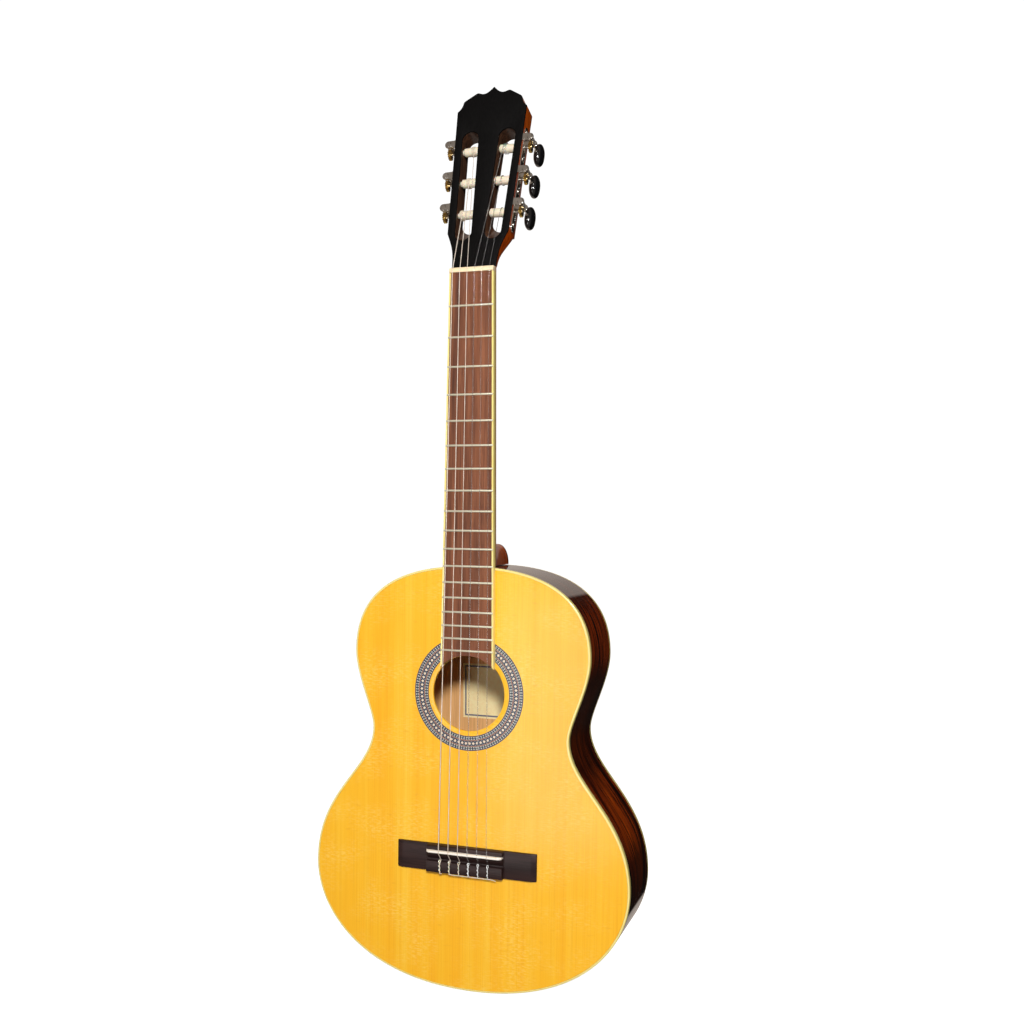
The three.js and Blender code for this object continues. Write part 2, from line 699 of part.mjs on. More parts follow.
// From just past the top of the roller, over the nut and the saddle, and through the tie block.
function stringRoute(n) {
  const radius = STRING_RADIUS[n - 1];
  const { sign, place, rank } = rollerOf(n);
  const front = ROLLER.depth - ROLLER.radius - radius - 0.3;
  const intoTuners = tunerMatrix(sign);
  const wound = new THREE.Vector3(sign * WOUND_AT[rank], front, place).applyMatrix4(intoTuners);
  const past = new THREE.Vector3(sign * WOUND_AT[rank], front, place + 2.5).applyMatrix4(intoTuners);
  const x0 = stringX(n, NUT_SPAN);
  const x1 = stringX(n, SADDLE_SPAN);
  const overNut = -NUT.top - radius - 0.1;
  const overSaddle = -SADDLE.top - radius - 0.1;
  return new Route([
    past,
    wound,
    new THREE.Vector3(x0 + 0.02 * (wound.x - x0), overNut + 0.35, 3.4),
    new THREE.Vector3(x0, overNut, 0.6),
    new THREE.Vector3(x1, overSaddle, SADDLE.z + 0.6),
    new THREE.Vector3(x1, overSaddle + 0.25, SADDLE.z - 0.8),
    new THREE.Vector3(x1, -TIE.hole, TIE.z + 1.5),
    new THREE.Vector3(x1, -TIE.hole, BRIDGE.bottom - 1),
  ]);
}

function string(n) {
  const sides = 6;
  const section = new THREE.Shape().absarc(0, 0, STRING_RADIUS[n - 1], 0, 2 * Math.PI);
  const extrudePath = stringRoute(n);
  const steps = extrudePath.points.length - 1;
  return solid(new THREE.ExtrudeGeometry(section, { steps, extrudePath, curveSegments: sides / 2 }));
}

// ---------------------------------------------------------------- tuners

// Lays a piece turned about y along x, pointing out of the head, at one roller.
function ontoRoller(body, sign, place) {
  return body.rotate([0, 0, -90 * sign]).translate([0, ROLLER.depth, place]);
}

function roller(place) {
  const walls = slotWalls(place);
  const barrelStart = walls.inner + 0.6;
  return turned([
    [0, walls.inner - 4], [2.9, walls.inner - 4], [2.9, barrelStart], [ROLLER.radius, barrelStart],
    [ROLLER.radius, -0.2], [3, -0.2], [3, GEAR.from - GAP], [1.5, GEAR.from - GAP],
    [1.5, GEAR.from + GEAR.thick + 1], [0, GEAR.from + GEAR.thick + 1],
  ], 10);
}

// A spur wheel whose straight-sided teeth lean with the worm's thread.
function gear() {
  const outline = [];
  const step = 2 * Math.PI / GEAR.teeth;
  const corners = [
    [-0.36, -GEAR.root], [-0.13, GEAR.tip], [0.13, GEAR.tip], [0.36, -GEAR.root],
  ];
  for (let tooth = 0; tooth < GEAR.teeth; tooth++) {
    corners.forEach(([share, lift]) => {
      const angle = (tooth + share) * step;
      outline.push([(GEAR_RADIUS + lift) * Math.cos(angle), (GEAR_RADIUS + lift) * Math.sin(angle)]);
    });
  }
  const shape = shapeOf(outline);
  shape.holes.push(new THREE.Path().absarc(0, 0, 1.7, 0, 2 * Math.PI));
  const wheel = extruded(shape, GEAR.thick, 4);
  const leadAngle = Math.atan2(GEAR.pitch, 2 * Math.PI * WORM.radius);
  const position = wheel.getAttribute('position');
  for (let i = 0; i < position.count; i++) {
    const away = position.getZ(i) - GEAR.thick / 2;
    const turn = away * Math.tan(leadAngle) / GEAR_RADIUS;
    const point = new THREE.Vector3().fromBufferAttribute(position, i);
    point.applyAxisAngle(new THREE.Vector3(0, 0, 1), turn);
    position.setXYZ(i, point.x, point.y, point.z);
  }
  return solid(wheel.translate(0, 0, GEAR.from).rotateX(-Math.PI / 2));
}

// The thread: a trapezoid section wound round the shaft.
function wormThread() {
  const stepsPerTurn = 8;
  const total = Math.round(WORM.turns * stepsPerTurn);
  const root = WORM.core - 0.3;
  const section = [[root, -0.72], [WORM.tip, -0.28], [WORM.tip, 0.28], [root, 0.72]];
  const rings = [];
  for (let i = 0; i <= total; i++) {
    const turns = i / stepsPerTurn - WORM.turns / 2;
    const angle = 2 * Math.PI * turns + Math.PI / 2;
    rings.push(section.map(([r, h]) => new THREE.Vector3(
      r * Math.cos(angle), h + turns * GEAR.pitch, -r * Math.sin(angle),
    )));
  }
  return loft(rings);
}

const EARS = { front: 1.2, back: 15.6, thick: 2.2, radius: 4.4 };

function wormShaft() {
  const { core, journal } = WORM;
  const middle = ROLLER.depth;
  const shoulderFront = EARS.front + EARS.thick + 0.3 - middle;
  const shoulderBack = EARS.back - 0.3 - middle;
  const behind = EARS.back + EARS.thick + 0.3 - middle;
  const collar = BUTTON.depth - BUTTON.long / 2 - 0.3 - middle;
  const end = BUTTON.depth - 2 - middle;
  const shaft = turned([
    [0, EARS.front - 0.6 - middle], [journal, EARS.front - 0.6 - middle], [journal, shoulderFront],
    [core, shoulderFront], [core, shoulderBack], [journal, shoulderBack], [journal, behind], [2, behind],
    [2, collar], [journal, collar], [journal, end], [0, end],
  ], 7);
  return shaft.add(wormThread());
}

function button() {
  const ball = new THREE.SphereGeometry(1, 12, 8);
  const rounded = ball.getAttribute('position');
  for (let i = 0; i < rounded.count; i++) {
    const squarer = (value) => Math.sign(value) * Math.abs(value) ** 0.8;
    rounded.setXYZ(i, squarer(rounded.getX(i)), squarer(rounded.getY(i)), squarer(rounded.getZ(i)));
  }
  const bore = rod(WORM.journal + 0.4, -BUTTON.long, -1, 8);
  return solid(ball.scale(BUTTON.thick / 2, BUTTON.long / 2, BUTTON.wide / 2)).subtract(bore);
}

// The strip screwed to the side of the head, with two bored ears for each worm.
function tunerPlate(sign) {
  const half = 64;
  const strip = new THREE.Shape();
  strip.absarc(ROLLER.depth, half - 5, 5, 0, Math.PI);
  strip.absarc(ROLLER.depth, 5 - half, 5, Math.PI, 2 * Math.PI);
  const sheet = [0.3, 1.5];
  let plate = alongX(strip, ...sheet);
  const earCentre = GEAR.from + GEAR.thick / 2;
  const across = [EARS.front, EARS.back + EARS.thick];
  for (const place of tunerPlaces()) {
    const z = place + WORM_OFFSET;
    plate = plate.add(box(sheet, across, [z - EARS.radius, z + EARS.radius]));
    for (const y of [EARS.front, EARS.back]) {
      const ear = new THREE.Shape();
      ear.moveTo(sheet[0], z - EARS.radius);
      ear.absarc(earCentre, z, EARS.radius, -Math.PI / 2, Math.PI / 2);
      ear.lineTo(sheet[0], z + EARS.radius);
      ear.holes.push(new THREE.Path().absarc(earCentre, z, WORM.journal + 0.4, 0, 2 * Math.PI));
      plate = plate.add(slab(ear, y, y + EARS.thick, 3));
    }
    const bore = rod(3.4, -5, 5, 12).rotate([0, 0, 90]).translate([0, ROLLER.depth, place]);
    plate = plate.subtract(bore);
  }
  return sign > 0 ? plate : plate.mirror([1, 0, 0]);
}

// One side's plate with its three tuners.
function tuners(sign) {
  const group = tunerFrame(sign);
  const label = sign > 0 ? 'treble' : 'bass';
  group.add(piece(`tuner_plate_${label}`, tunerPlate(sign), 'nickel'));
  for (let n = 1; n <= 6; n++) {
    const { sign: own, place } = rollerOf(n);
    if (own !== sign) continue;
    const wormX = sign * (GEAR.from + GEAR.thick / 2);
    const shaft = piece(`worm_shaft_${n}`, wormShaft(), 'nickel');
    shaft.position.set(wormX, ROLLER.depth, place + WORM_OFFSET);
    const knob = piece(`tuner_button_${n}`, button(), 'black');
    knob.position.set(wormX, BUTTON.depth, place + WORM_OFFSET);
    group.add(
      piece(`string_roller_${n}`, ontoRoller(roller(place), sign, place), 'ivory'),
      piece(`worm_gear_${n}`, ontoRoller(gear(), sign, place), 'brass'),
      shaft,
      knob,
    );
  }
  return group;
}

// ---------------------------------------------------------------- the whole guitar

function guitar() {
  const whole = new THREE.Group();
  const head = headFrame();
  head.add(piece('head_veneer', headVeneer(), 'black'), tuners(1), tuners(-1));
  whole.add(
    bodyPieces(),
    piece('neck', neck(), 'mahogany'),
    piece('heel_cap', heelCap(), 'ebony'),
    piece('fingerboard', fingerboard(), 'board'),
    piece('fingerboard_binding_treble', boardBinding(1), 'binding'),
    piece('fingerboard_binding_bass', boardBinding(-1), 'binding'),
    piece('nut', nut(), 'bone'),
    piece('bridge', bridge(), 'ebony'),
    piece('saddle', saddle(), 'bone'),
    head,
  );
  for (let n = 1; n <= 6; n++) {
    whole.add(piece(`string_${n}`, string(n), n <= 3 ? 'gut' : 'wound'));
  }
  return whole;
}

export default guitar();
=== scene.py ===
"""The looks of a classical guitar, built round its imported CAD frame.

Lengths are in millimetres, in the guitar's own frame, until add_mesh() turns them into metres.
x = 0 is the plane of symmetry and +X the treble side. y = 0 is the outer face of the soundboard
and +Y runs into the body. z = 0 is the front edge of the nut and +Z runs up to the head.
"""

import json
import math

import bmesh
import bpy
from mathutils import Matrix, Vector

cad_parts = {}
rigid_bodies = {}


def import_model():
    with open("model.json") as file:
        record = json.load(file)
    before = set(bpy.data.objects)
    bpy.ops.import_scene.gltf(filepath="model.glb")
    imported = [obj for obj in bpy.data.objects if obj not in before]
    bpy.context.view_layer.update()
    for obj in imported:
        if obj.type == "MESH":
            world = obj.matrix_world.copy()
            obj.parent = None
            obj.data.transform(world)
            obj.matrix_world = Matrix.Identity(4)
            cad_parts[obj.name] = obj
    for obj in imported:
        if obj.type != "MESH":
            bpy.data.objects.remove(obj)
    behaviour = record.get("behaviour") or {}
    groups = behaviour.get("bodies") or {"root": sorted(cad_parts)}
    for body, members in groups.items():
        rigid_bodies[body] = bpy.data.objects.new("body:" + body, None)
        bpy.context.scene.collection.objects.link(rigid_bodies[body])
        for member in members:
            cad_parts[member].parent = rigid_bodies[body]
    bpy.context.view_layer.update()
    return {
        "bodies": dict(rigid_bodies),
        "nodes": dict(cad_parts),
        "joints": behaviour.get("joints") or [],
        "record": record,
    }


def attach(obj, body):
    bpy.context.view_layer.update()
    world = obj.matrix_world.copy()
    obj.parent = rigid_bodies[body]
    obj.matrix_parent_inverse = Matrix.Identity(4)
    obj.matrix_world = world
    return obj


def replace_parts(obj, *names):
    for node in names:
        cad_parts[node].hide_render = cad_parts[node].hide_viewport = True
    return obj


MM = 0.001

# ---------------------------------------------------------------- dimensions, as in the CAD part

SCALE = 650
FRETS = 18
NUT_HALF = 26
JOINT_HALF = 30.35
BOARD_THICK = 7
BOARD_BINDING = 2
FRET_WIDTH = 2.2
FRET_HIGH = 1

BODY_TOP = -325
BODY_TAIL = -813
HALF_OUTLINE = [
    ((0, BODY_TOP), (103, BODY_TOP), (141.5, -367), (141.5, -425.5)),
    ((141.5, -425.5), (141.5, -456.5), (118.5, -496.5), (118.5, -515)),
    ((118.5, -515), (118.5, -566), (190.5, -593.5), (190.5, -680)),
    ((190.5, -680), (190.5, -742), (132, BODY_TAIL), (0, BODY_TAIL)),
]
DEPTH_TOP = 90
DEPTH_TAIL = 103
BACK_ARCH = 4
LOWER_HALF = 190.5
PLATE_THICK = 2.5
SIDE_THICK = 2
BINDING_WIDE = 2.3
BINDING_HIGH = 6
JOIN = 0.2                            # left between pieces that are glued together

HOLE_Z = -469
HOLE_RADIUS = 43
LABEL_X = (-43, 57)
LABEL_Z = (-514, -447)
ROSETTE_INNER = 48.7
ROSETTE_OUTER = 65.6
ROSETTE_THICK = 1.2

HEAD_TILT = math.radians(15.4)
HEAD_THICK = 23
VENEER = 2
FLARE = ((NUT_HALF, 0), (26.5, 22), (29.5, 28), (36.2, 43.5))
HEAD_CORNER = (36.2, 43.5)
HEAD_SHOULDER = (41.9, 198)
SLOT_HALF = 10
SLOT_LOW = (17.7, 44.5)
SLOT_HIGH = (22.2, 161.3)
SLOT_RAMP = 20                        # how much shorter the slots are at the back of the head

NUT_THICK = 5.6
NUT_TOP = 8.8
SADDLE_Z = -651.5
SADDLE_THICK = 2.6
SADDLE_HALF = 45.5
SADDLE_TOP = 13.2
BRIDGE_HALF = 84.5
BRIDGE_TOP = -644.5
BRIDGE_BOTTOM = -676
BRIDGE_CENTRE = 46
WING_HIGH = 3.6
RAMP_HIGH = 8.4
CHANNEL = 3.8                         # floor of the channel, a little above the wings
TIE_Z = -663
TIE_HIGH = 9.4
TIE_HOLE = 4.8
SADDLE_SLOT_FLOOR = 3.2
CHANNEL_FRONT = -661.3                # where the channel's floor ends and its ramp starts
RAMP_BACK = -655.8                    # where that ramp reaches the saddle block's top

STRING_RADIUS = [0.36, 0.41, 0.51, 0.37, 0.45, 0.55]
NUT_SPAN = 43
SADDLE_SPAN = 58

TUNER_CENTRE = 110
TUNER_PITCH = 40
ROLLER_RADIUS = 5
ROLLER_DEPTH = 9.5
WOUND_AT = [-14.5, -19.5, -22.5]
GEAR_FROM = 7.2
GEAR_THICK = 2.8
GEAR_PITCH = 2.5
GEAR_TEETH = 14
WORM_RADIUS = 2.9
WORM_CORE = 2.1
WORM_TIP = 3.5
WORM_TURNS = 2.2
WORM_JOURNAL = 1.4
WORM_OFFSET = GEAR_TEETH * GEAR_PITCH / (2 * math.pi) + WORM_RADIUS + 0.1
WORM_OUT = GEAR_FROM + GEAR_THICK / 2
EAR_FRONT = 1.2
EAR_BACK = 15.6
EAR_THICK = 2.2
EAR_RADIUS = 4.4
PLATE_ENDS = (-64, 64)
PLATE_SCREWS = (-56, -15.5, 24.5, 58.5)
BUTTON_DEPTH = 39
BUTTON_THICK = 11.5
BUTTON_LONG = 19
BUTTON_WIDE = 26.5

# The view: where the camera is, how it is turned, and how its picture is framed.
CAMERA_PLACE = (442.7, -1159.4, -282.2)
CAMERA_YAW = 0.3263
CAMERA_PITCH = 0.0555
CAMERA_ROLL = 0.0143
CAMERA_LENS = 38.79
CAMERA_SHIFT = 0.0762

# The key light, in degrees across from straight ahead of the soundhole and above it, and how
# bright the surroundings are.
KEY_ACROSS = 21
KEY_ABOVE = 25
WALL_BEHIND = 0.5
ROOM_IN_FRONT = 0.22

# ---------------------------------------------------------------- materials


class Paint:
    """One material, with short ways to add the nodes that most of them use."""

    def __init__(self, name, roughness, metallic=0.0, coat=0.0, coat_roughness=0.05, specular=0.5):
        self.material = bpy.data.materials.new(name)
        self.material.use_nodes = True
        self.tree = self.material.node_tree
        self.shader = self.tree.nodes["Principled BSDF"]
        self.place = self.node("ShaderNodeTexCoord").outputs["Object"]
        self.set("Roughness", roughness)
        self.set("Metallic", metallic)
        self.set("Coat Weight", coat)
        self.set("Coat Roughness", coat_roughness)
        self.set("Specular IOR Level", specular)

    def node(self, kind, **settings):
        made = self.tree.nodes.new(kind)
        for key, value in settings.items():
            setattr(made, key, value)
        return made

    def feed(self, socket, value):
        if isinstance(value, bpy.types.NodeSocket):
            self.tree.links.new(value, socket)
        else:
            socket.default_value = value

    def set(self, name, value):
        self.feed(self.shader.inputs[name], value)

    def noise(self, scale, detail=3.0, roughness=0.5, distortion=0.0, offset=(0, 0, 0), place=None):
        """Noise from 0 to 1, with scale in waves per metre along x, y and z."""
        mapping = self.node("ShaderNodeMapping")
        self.feed(mapping.inputs["Vector"], place or self.place)
        mapping.inputs["Scale"].default_value = scale
        mapping.inputs["Location"].default_value = offset
        made = self.node("ShaderNodeTexNoise")
        self.feed(made.inputs["Vector"], mapping.outputs["Vector"])
        made.inputs["Scale"].default_value = 1.0
        made.inputs["Detail"].default_value = detail
        made.inputs["Roughness"].default_value = roughness
        made.inputs["Distortion"].default_value = distortion
        return made.outputs["Fac"]

    def ramp(self, factor, *stops):
        made = self.node("ShaderNodeValToRGB")
        self.feed(made.inputs["Fac"], factor)
        elements = made.color_ramp.elements
        while len(elements) < len(stops):
            elements.new(0.5)
        for element, (position, colour) in zip(elements, stops):
            element.position = position
            element.color = (*colour, 1)
        return made.outputs["Color"]

    def grey(self, factor, low, high, dark=0.0, light=1.0):
        return self.ramp(factor, (low, (dark,) * 3), (high, (light,) * 3))

    def mix(self, factor, first, second, kind="MIX"):
        made = self.node("ShaderNodeMix", data_type="RGBA", blend_type=kind)
        self.feed(made.inputs[0], factor)
        for socket, value in ((made.inputs[6], first), (made.inputs[7], second)):
            self.feed(socket, (*value, 1) if isinstance(value, tuple) else value)
        return made.outputs[2]

    def maths(self, operation, first, second=0.0):
        made = self.node("ShaderNodeMath", operation=operation)
        self.feed(made.inputs[0], first)
        self.feed(made.inputs[1], second)
        return made.outputs[0]

    def split(self):
        made = self.node("ShaderNodeSeparateXYZ")
        self.feed(made.inputs[0], self.place)
        return made.outputs[0], made.outputs[1], made.outputs[2]

    def bump(self, height, depth):
        """Raises the surface by up to depth millimetres where height is 1."""
        made = self.node("ShaderNodeBump")
        made.inputs["Strength"].default_value = 1.0
        made.inputs["Distance"].default_value = depth * MM
        self.feed(made.inputs["Height"], height)
        self.set("Normal", made.outputs["Normal"])


def spruce_top():
    paint = Paint("spruce_top", 0.42, coat=0.40, coat_roughness=0.16, specular=0.25)
    fine = paint.noise((760, 20, 5), detail=4, roughness=0.6)
    broad = paint.noise((46, 5, 1.4), detail=4, roughness=0.55, offset=(3.1, 0, 0))
    silk = paint.noise((150, 10, 620), detail=3, roughness=0.6)
    patches = paint.noise((16, 5, 22), detail=3, offset=(7.7, 0, 2.4))
    colour = paint.ramp(broad, (0.30, (0.94, 0.44, 0.010)), (0.52, (0.95, 0.50, 0.018)),
                        (0.74, (0.96, 0.58, 0.045)))
    lines = paint.ramp(fine, (0.36, (0.90, 0.80, 0.55)), (0.56, (1, 1, 1)))
    colour = paint.mix(0.55, colour, lines, "MULTIPLY")
    figure = paint.maths("MULTIPLY", paint.grey(silk, 0.45, 0.70), paint.grey(patches, 0.42, 0.66))
    colour = paint.mix(paint.maths("MULTIPLY", figure, 0.60), colour, (1.0, 0.70, 0.16))
    knots = paint.grey(paint.noise((70, 5, 260), detail=3, offset=(5, 1, 2)), 0.62, 0.72)
    colour = paint.mix(paint.maths("MULTIPLY", knots, 0.35), colour, (0.80, 0.36, 0.02))
    paint.set("Base Color", colour)
    paint.bump(paint.maths("ADD", fine, figure), 0.02)
    return paint.material


def bare_spruce():
    paint = Paint("bare_spruce", 0.75, specular=0.2)
    fine = paint.noise((500, 60, 6), detail=4)
    paint.set("Base Color", paint.ramp(fine, (0.3, (0.50, 0.33, 0.14)), (0.7, (0.68, 0.49, 0.25))))
    paint.bump(fine, 0.08)
    return paint.material


def rosewood():
    """Dark striped wood under thick gloss. On the ribs the stripes run round the body at one depth."""
    paint = Paint("rosewood", 0.5, coat=1.0, coat_roughness=0.025, specular=0.04)
    wander = paint.noise((5, 6, 5), detail=2)
    x, y, z = paint.split()
    shift = paint.maths("MULTIPLY", paint.maths("SUBTRACT", wander, 0.5), 0.035)
    across = paint.maths("ADD", y, shift)
    side = paint.node("ShaderNodeCombineXYZ")
    paint.feed(side.inputs[0], paint.maths("ADD", x, shift))
    paint.feed(side.inputs[1], across)
    paint.feed(side.inputs[2], z)
    moved = side.outputs[0]
    bands = paint.noise((7, 85, 5), detail=4, roughness=0.6, place=moved)
    fine = paint.noise((30, 620, 12), detail=4, roughness=0.65, place=moved)
    glow = paint.noise((9, 28, 9), detail=2, offset=(4, 1, 9))
    colour = paint.ramp(bands, (0.39, (0.006, 0.0010, 0.0004)), (0.47, (0.075, 0.007, 0.0004)),
                        (0.55, (0.40, 0.048, 0.0010)), (0.61, (0.016, 0.002, 0.0004)))
    streak = paint.ramp(fine, (0.40, (0.18, 0.12, 0.10)), (0.58, (1, 1, 1)))
    colour = paint.mix(0.85, colour, streak, "MULTIPLY")
    warm = paint.maths("MULTIPLY", paint.grey(glow, 0.45, 0.68), paint.grey(fine, 0.40, 0.66))
    colour = paint.mix(paint.maths("MULTIPLY", warm, 0.7), colour, (0.70, 0.105, 0.002))
    # Painted light and shade in bands round the ribs along z: a painted highlight near the shoulders (z =
    # -0.40 m, again at -0.60 and -0.80 m) and painted shade at the waist (about -0.50 m, again at -0.30 and
    # -0.70 m), repeating every 0.2 m.
    painted_rib_light = paint.maths("COSINE", paint.maths("MULTIPLY", paint.maths("ADD", z, 0.40), 2 * math.pi / 0.2))
    colour = paint.mix(1.0, colour, paint.grey(painted_rib_light, 0.0, 0.8, 0.32, 1.0), "MULTIPLY")
    paint.set("Base Color", colour)
    paint.bump(fine, 0.02)
    return paint.material


def rosewood_back():
    """The back is two leaves opened like a book, with the stripes along it."""
    paint = Paint("rosewood_back", 0.38, coat=1.0, coat_roughness=0.03, specular=0.3)
    x, y, z = paint.split()
    mirrored = paint.node("ShaderNodeCombineXYZ")
    wander = paint.noise((3, 1, 2.2), detail=2)
    shift = paint.maths("MULTIPLY", paint.maths("SUBTRACT", wander, 0.5), 0.06)
    paint.feed(mirrored.inputs[0], paint.maths("ADD", paint.maths("ABSOLUTE", x), shift))
    paint.feed(mirrored.inputs[2], z)
    leaf = mirrored.outputs[0]
    bands = paint.noise((70, 1, 2.5), detail=4, roughness=0.6, place=leaf)
    fine = paint.noise((620, 1, 12), detail=4, roughness=0.65, place=leaf)
    colour = paint.ramp(bands, (0.30, (0.006, 0.002, 0.001)), (0.47, (0.040, 0.008, 0.002)),
                        (0.60, (0.115, 0.026, 0.005)), (0.75, (0.022, 0.005, 0.002)))
    streak = paint.ramp(fine, (0.40, (0.30, 0.24, 0.20)), (0.58, (1, 1, 1)))
    paint.set("Base Color", paint.mix(0.8, colour, streak, "MULTIPLY"))
    paint.bump(fine, 0.02)
    return paint.material


def mahogany():
    paint = Paint("mahogany", 0.36, coat=0.45, coat_roughness=0.06, specular=0.15)
    fine = paint.noise((520, 520, 14), detail=4, roughness=0.65)
    broad = paint.noise((60, 60, 4), detail=3, offset=(2, 5, 1))
    colour = paint.ramp(broad, (0.32, (0.32, 0.036, 0.0010)), (0.68, (0.62, 0.110, 0.003)))
    pores = paint.ramp(fine, (0.38, (0.35, 0.25, 0.22)), (0.50, (1, 1, 1)))
    paint.set("Base Color", paint.mix(0.75, colour, pores, "MULTIPLY"))
    paint.bump(fine, 0.03)
    return paint.material


def slot_wood():
    """Dark brown wood on the walls of the head's slots, much darker than the neck's mahogany."""
    paint = Paint("slot_wood", 0.5, coat=0.3, coat_roughness=0.2, specular=0.3)
    fine = paint.noise((520, 520, 14), detail=4, roughness=0.65)
    paint.set("Base Color", paint.ramp(fine, (0.36, (0.022, 0.008, 0.004)), (0.62, (0.105, 0.045, 0.022))))
    paint.bump(fine, 0.05)
    return paint.material


def lining_wood():
    paint = Paint("lining_wood", 0.8, specular=0.2)
    fine = paint.noise((420, 420, 8), detail=4, roughness=0.6)
    broad = paint.noise((50, 50, 3), detail=2)
    colour = paint.ramp(fine, (0.30, (0.66, 0.34, 0.12)), (0.55, (0.88, 0.49, 0.20)),
                        (0.8, (0.93, 0.56, 0.25)))
    colour = paint.mix(paint.maths("MULTIPLY", broad, 0.3), colour, (0.68, 0.35, 0.13))
    paint.set("Base Color", colour)
    paint.bump(fine, 0.08)
    return paint.material


def head_black():
    paint = Paint("head_black", 0.55, specular=0.10)
    grain = paint.noise((700, 700, 20), detail=4)
    colour = paint.ramp(grain, (0.35, (0.0018, 0.0016, 0.0016)), (0.7, (0.0036, 0.0032, 0.0032)))
    paint.set("Base Color", colour)
    paint.bump(grain, 0.03)
    return paint.material


def board_wood():
    paint = Paint("fingerboard_rosewood", 0.55, specular=0.4)
    fine = paint.noise((900, 60, 22), detail=5, roughness=0.7)
    streaks = paint.noise((180, 40, 7), detail=3, roughness=0.6, offset=(1, 1, 4))
    broad = paint.noise((45, 20, 6), detail=2, offset=(8, 0, 1))
    colour = paint.ramp(streaks, (0.30, (0.100, 0.030, 0.012)), (0.50, (0.185, 0.058, 0.023)),
                        (0.72, (0.280, 0.100, 0.042)))
    pores = paint.ramp(fine, (0.36, (0.30, 0.24, 0.22)), (0.50, (1, 1, 1)))
    colour = paint.mix(0.8, colour, pores, "MULTIPLY")
    worn = paint.maths("MULTIPLY", paint.grey(broad, 0.4, 0.7), 0.4)
    colour = paint.mix(worn, colour, (0.25, 0.080, 0.030))
    paint.set("Base Color", colour)
    paint.set("Roughness", paint.grey(fine, 0.3, 0.7, 0.62, 0.45))
    paint.bump(fine, 0.10)
    return paint.material


def bridge_wood():
    paint = Paint("bridge_wood", 0.42, specular=0.32)
    fine = paint.noise((18, 500, 800), detail=5, roughness=0.65)
    broad = paint.noise((10, 60, 90), detail=3)
    colour = paint.ramp(broad, (0.35, (0.020, 0.009, 0.0085)), (0.7, (0.040, 0.019, 0.017)))
    pores = paint.ramp(fine, (0.38, (0.40, 0.35, 0.34)), (0.52, (1, 1, 1)))
    paint.set("Base Color", paint.mix(0.8, colour, pores, "MULTIPLY"))
    paint.bump(fine, 0.05)
    return paint.material


def rosette_inlay():
    """Rings about the soundhole: thin brown lines, two check bands, and diamonds on dark blue."""
    paint = Paint("rosette_inlay", 0.4, coat=0.3, coat_roughness=0.15, specular=0.25)
    x, _, z = paint.split()
    dz = paint.maths("SUBTRACT", z, HOLE_Z * MM)
    squares = paint.maths("MULTIPLY", x, x), paint.maths("MULTIPLY", dz, dz)
    radius = paint.maths("SQRT", paint.maths("ADD", *squares))
    turn = paint.maths("ARCTAN2", dz, x)
    navy = (0.014, 0.024, 0.052)
    cream = (0.74, 0.63, 0.49)
    dash = (0.56, 0.58, 0.52)
    dot = (0.20, 0.25, 0.31)
    brown = (0.40, 0.215, 0.150)
    plum = (0.115, 0.080, 0.115)

    def between(low, high):
        inside = paint.maths("GREATER_THAN", radius, low * MM)
        return paint.maths("MULTIPLY", inside, paint.maths("LESS_THAN", radius, high * MM))

    def cell(count, offset=0.0):
        """How far across its cell each point is, from -0.5 to 0.5, with count cells round the ring."""
        turns = paint.maths("ADD", paint.maths("MULTIPLY", turn, count / (2 * math.pi)), count + offset)
        return paint.maths("SUBTRACT", paint.maths("FRACT", turns), 0.5)

    def diamonds(shift, centre, tangential, radial):
        """Diamonds of the given half sizes, in shares of a cell round the ring and in millimetres."""
        along = paint.maths("DIVIDE", paint.maths("ABSOLUTE", cell(80, shift)), tangential)
        off = paint.maths("ABSOLUTE", paint.maths("SUBTRACT", radius, centre * MM))
        off = paint.maths("DIVIDE", off, radial * MM)
        return paint.maths("LESS_THAN", paint.maths("ADD", along, off), 1.0)

    colour = paint.mix(diamonds(0.5, 55.2, 0.20, 0.8), navy, dot)
    colour = paint.mix(diamonds(0.5, 59.1, 0.20, 0.8), colour, dot)
    colour = paint.mix(diamonds(0.0, 57.15, 0.40, 1.9), colour, cream)
    for low, count in ((49.85, 108), (51.75, 108), (61.3, 132), (63.25, 132)):
        rung = paint.maths("LESS_THAN", paint.maths("ABSOLUTE", cell(count)), 0.28)
        colour = paint.mix(paint.maths("MULTIPLY", rung, between(low, low + 1.1)), colour, dash)
    for low, high, tint in ((48.6, 49.3, plum), (53.3, 54.3, brown), (60.0, 61.0, brown), (64.9, 65.7, plum)):
        colour = paint.mix(between(low, high), colour, tint)
    mottle = paint.noise((900, 900, 900), detail=2)
    colour = paint.mix(0.25, colour, paint.grey(mottle, 0.3, 0.7, 0.6, 1.2), "MULTIPLY")
    paint.set("Base Color", colour)
    paint.bump(mottle, 0.02)
    return paint.material


def smooth_plastic(name, colour, shade, roughness, coat=0.0, subsurface=0.0, waves=40):
    """A plain moulded or polished material with slight cloudiness."""
    paint = Paint(name, roughness, coat=coat, coat_roughness=0.08)
    cloud = paint.noise((waves, waves, waves), detail=3)
    paint.set("Base Color", paint.ramp(cloud, (0.3, shade), (0.7, colour)))
    if subsurface:
        paint.set("Subsurface Weight", subsurface)
        paint.set("Subsurface Scale", 0.002)
    grain = paint.noise((900, 900, 900), detail=2)
    paint.bump(grain, 0.01)
    return paint.material


def bone():
    paint = Paint("bone", 0.32, coat=0.3, coat_roughness=0.1)
    cloud = paint.noise((30, 60, 120), detail=4)
    fibres = paint.noise((40, 900, 900), detail=3)
    colour = paint.ramp(cloud, (0.3, (0.96, 0.72, 0.44)), (0.7, (0.99, 0.82, 0.55)))
    paint.set("Base Color", paint.mix(0.2, colour, paint.grey(fibres, 0.3, 0.6, 0.75, 1.0), "MULTIPLY"))
    paint.bump(fibres, 0.01)
    return paint.material


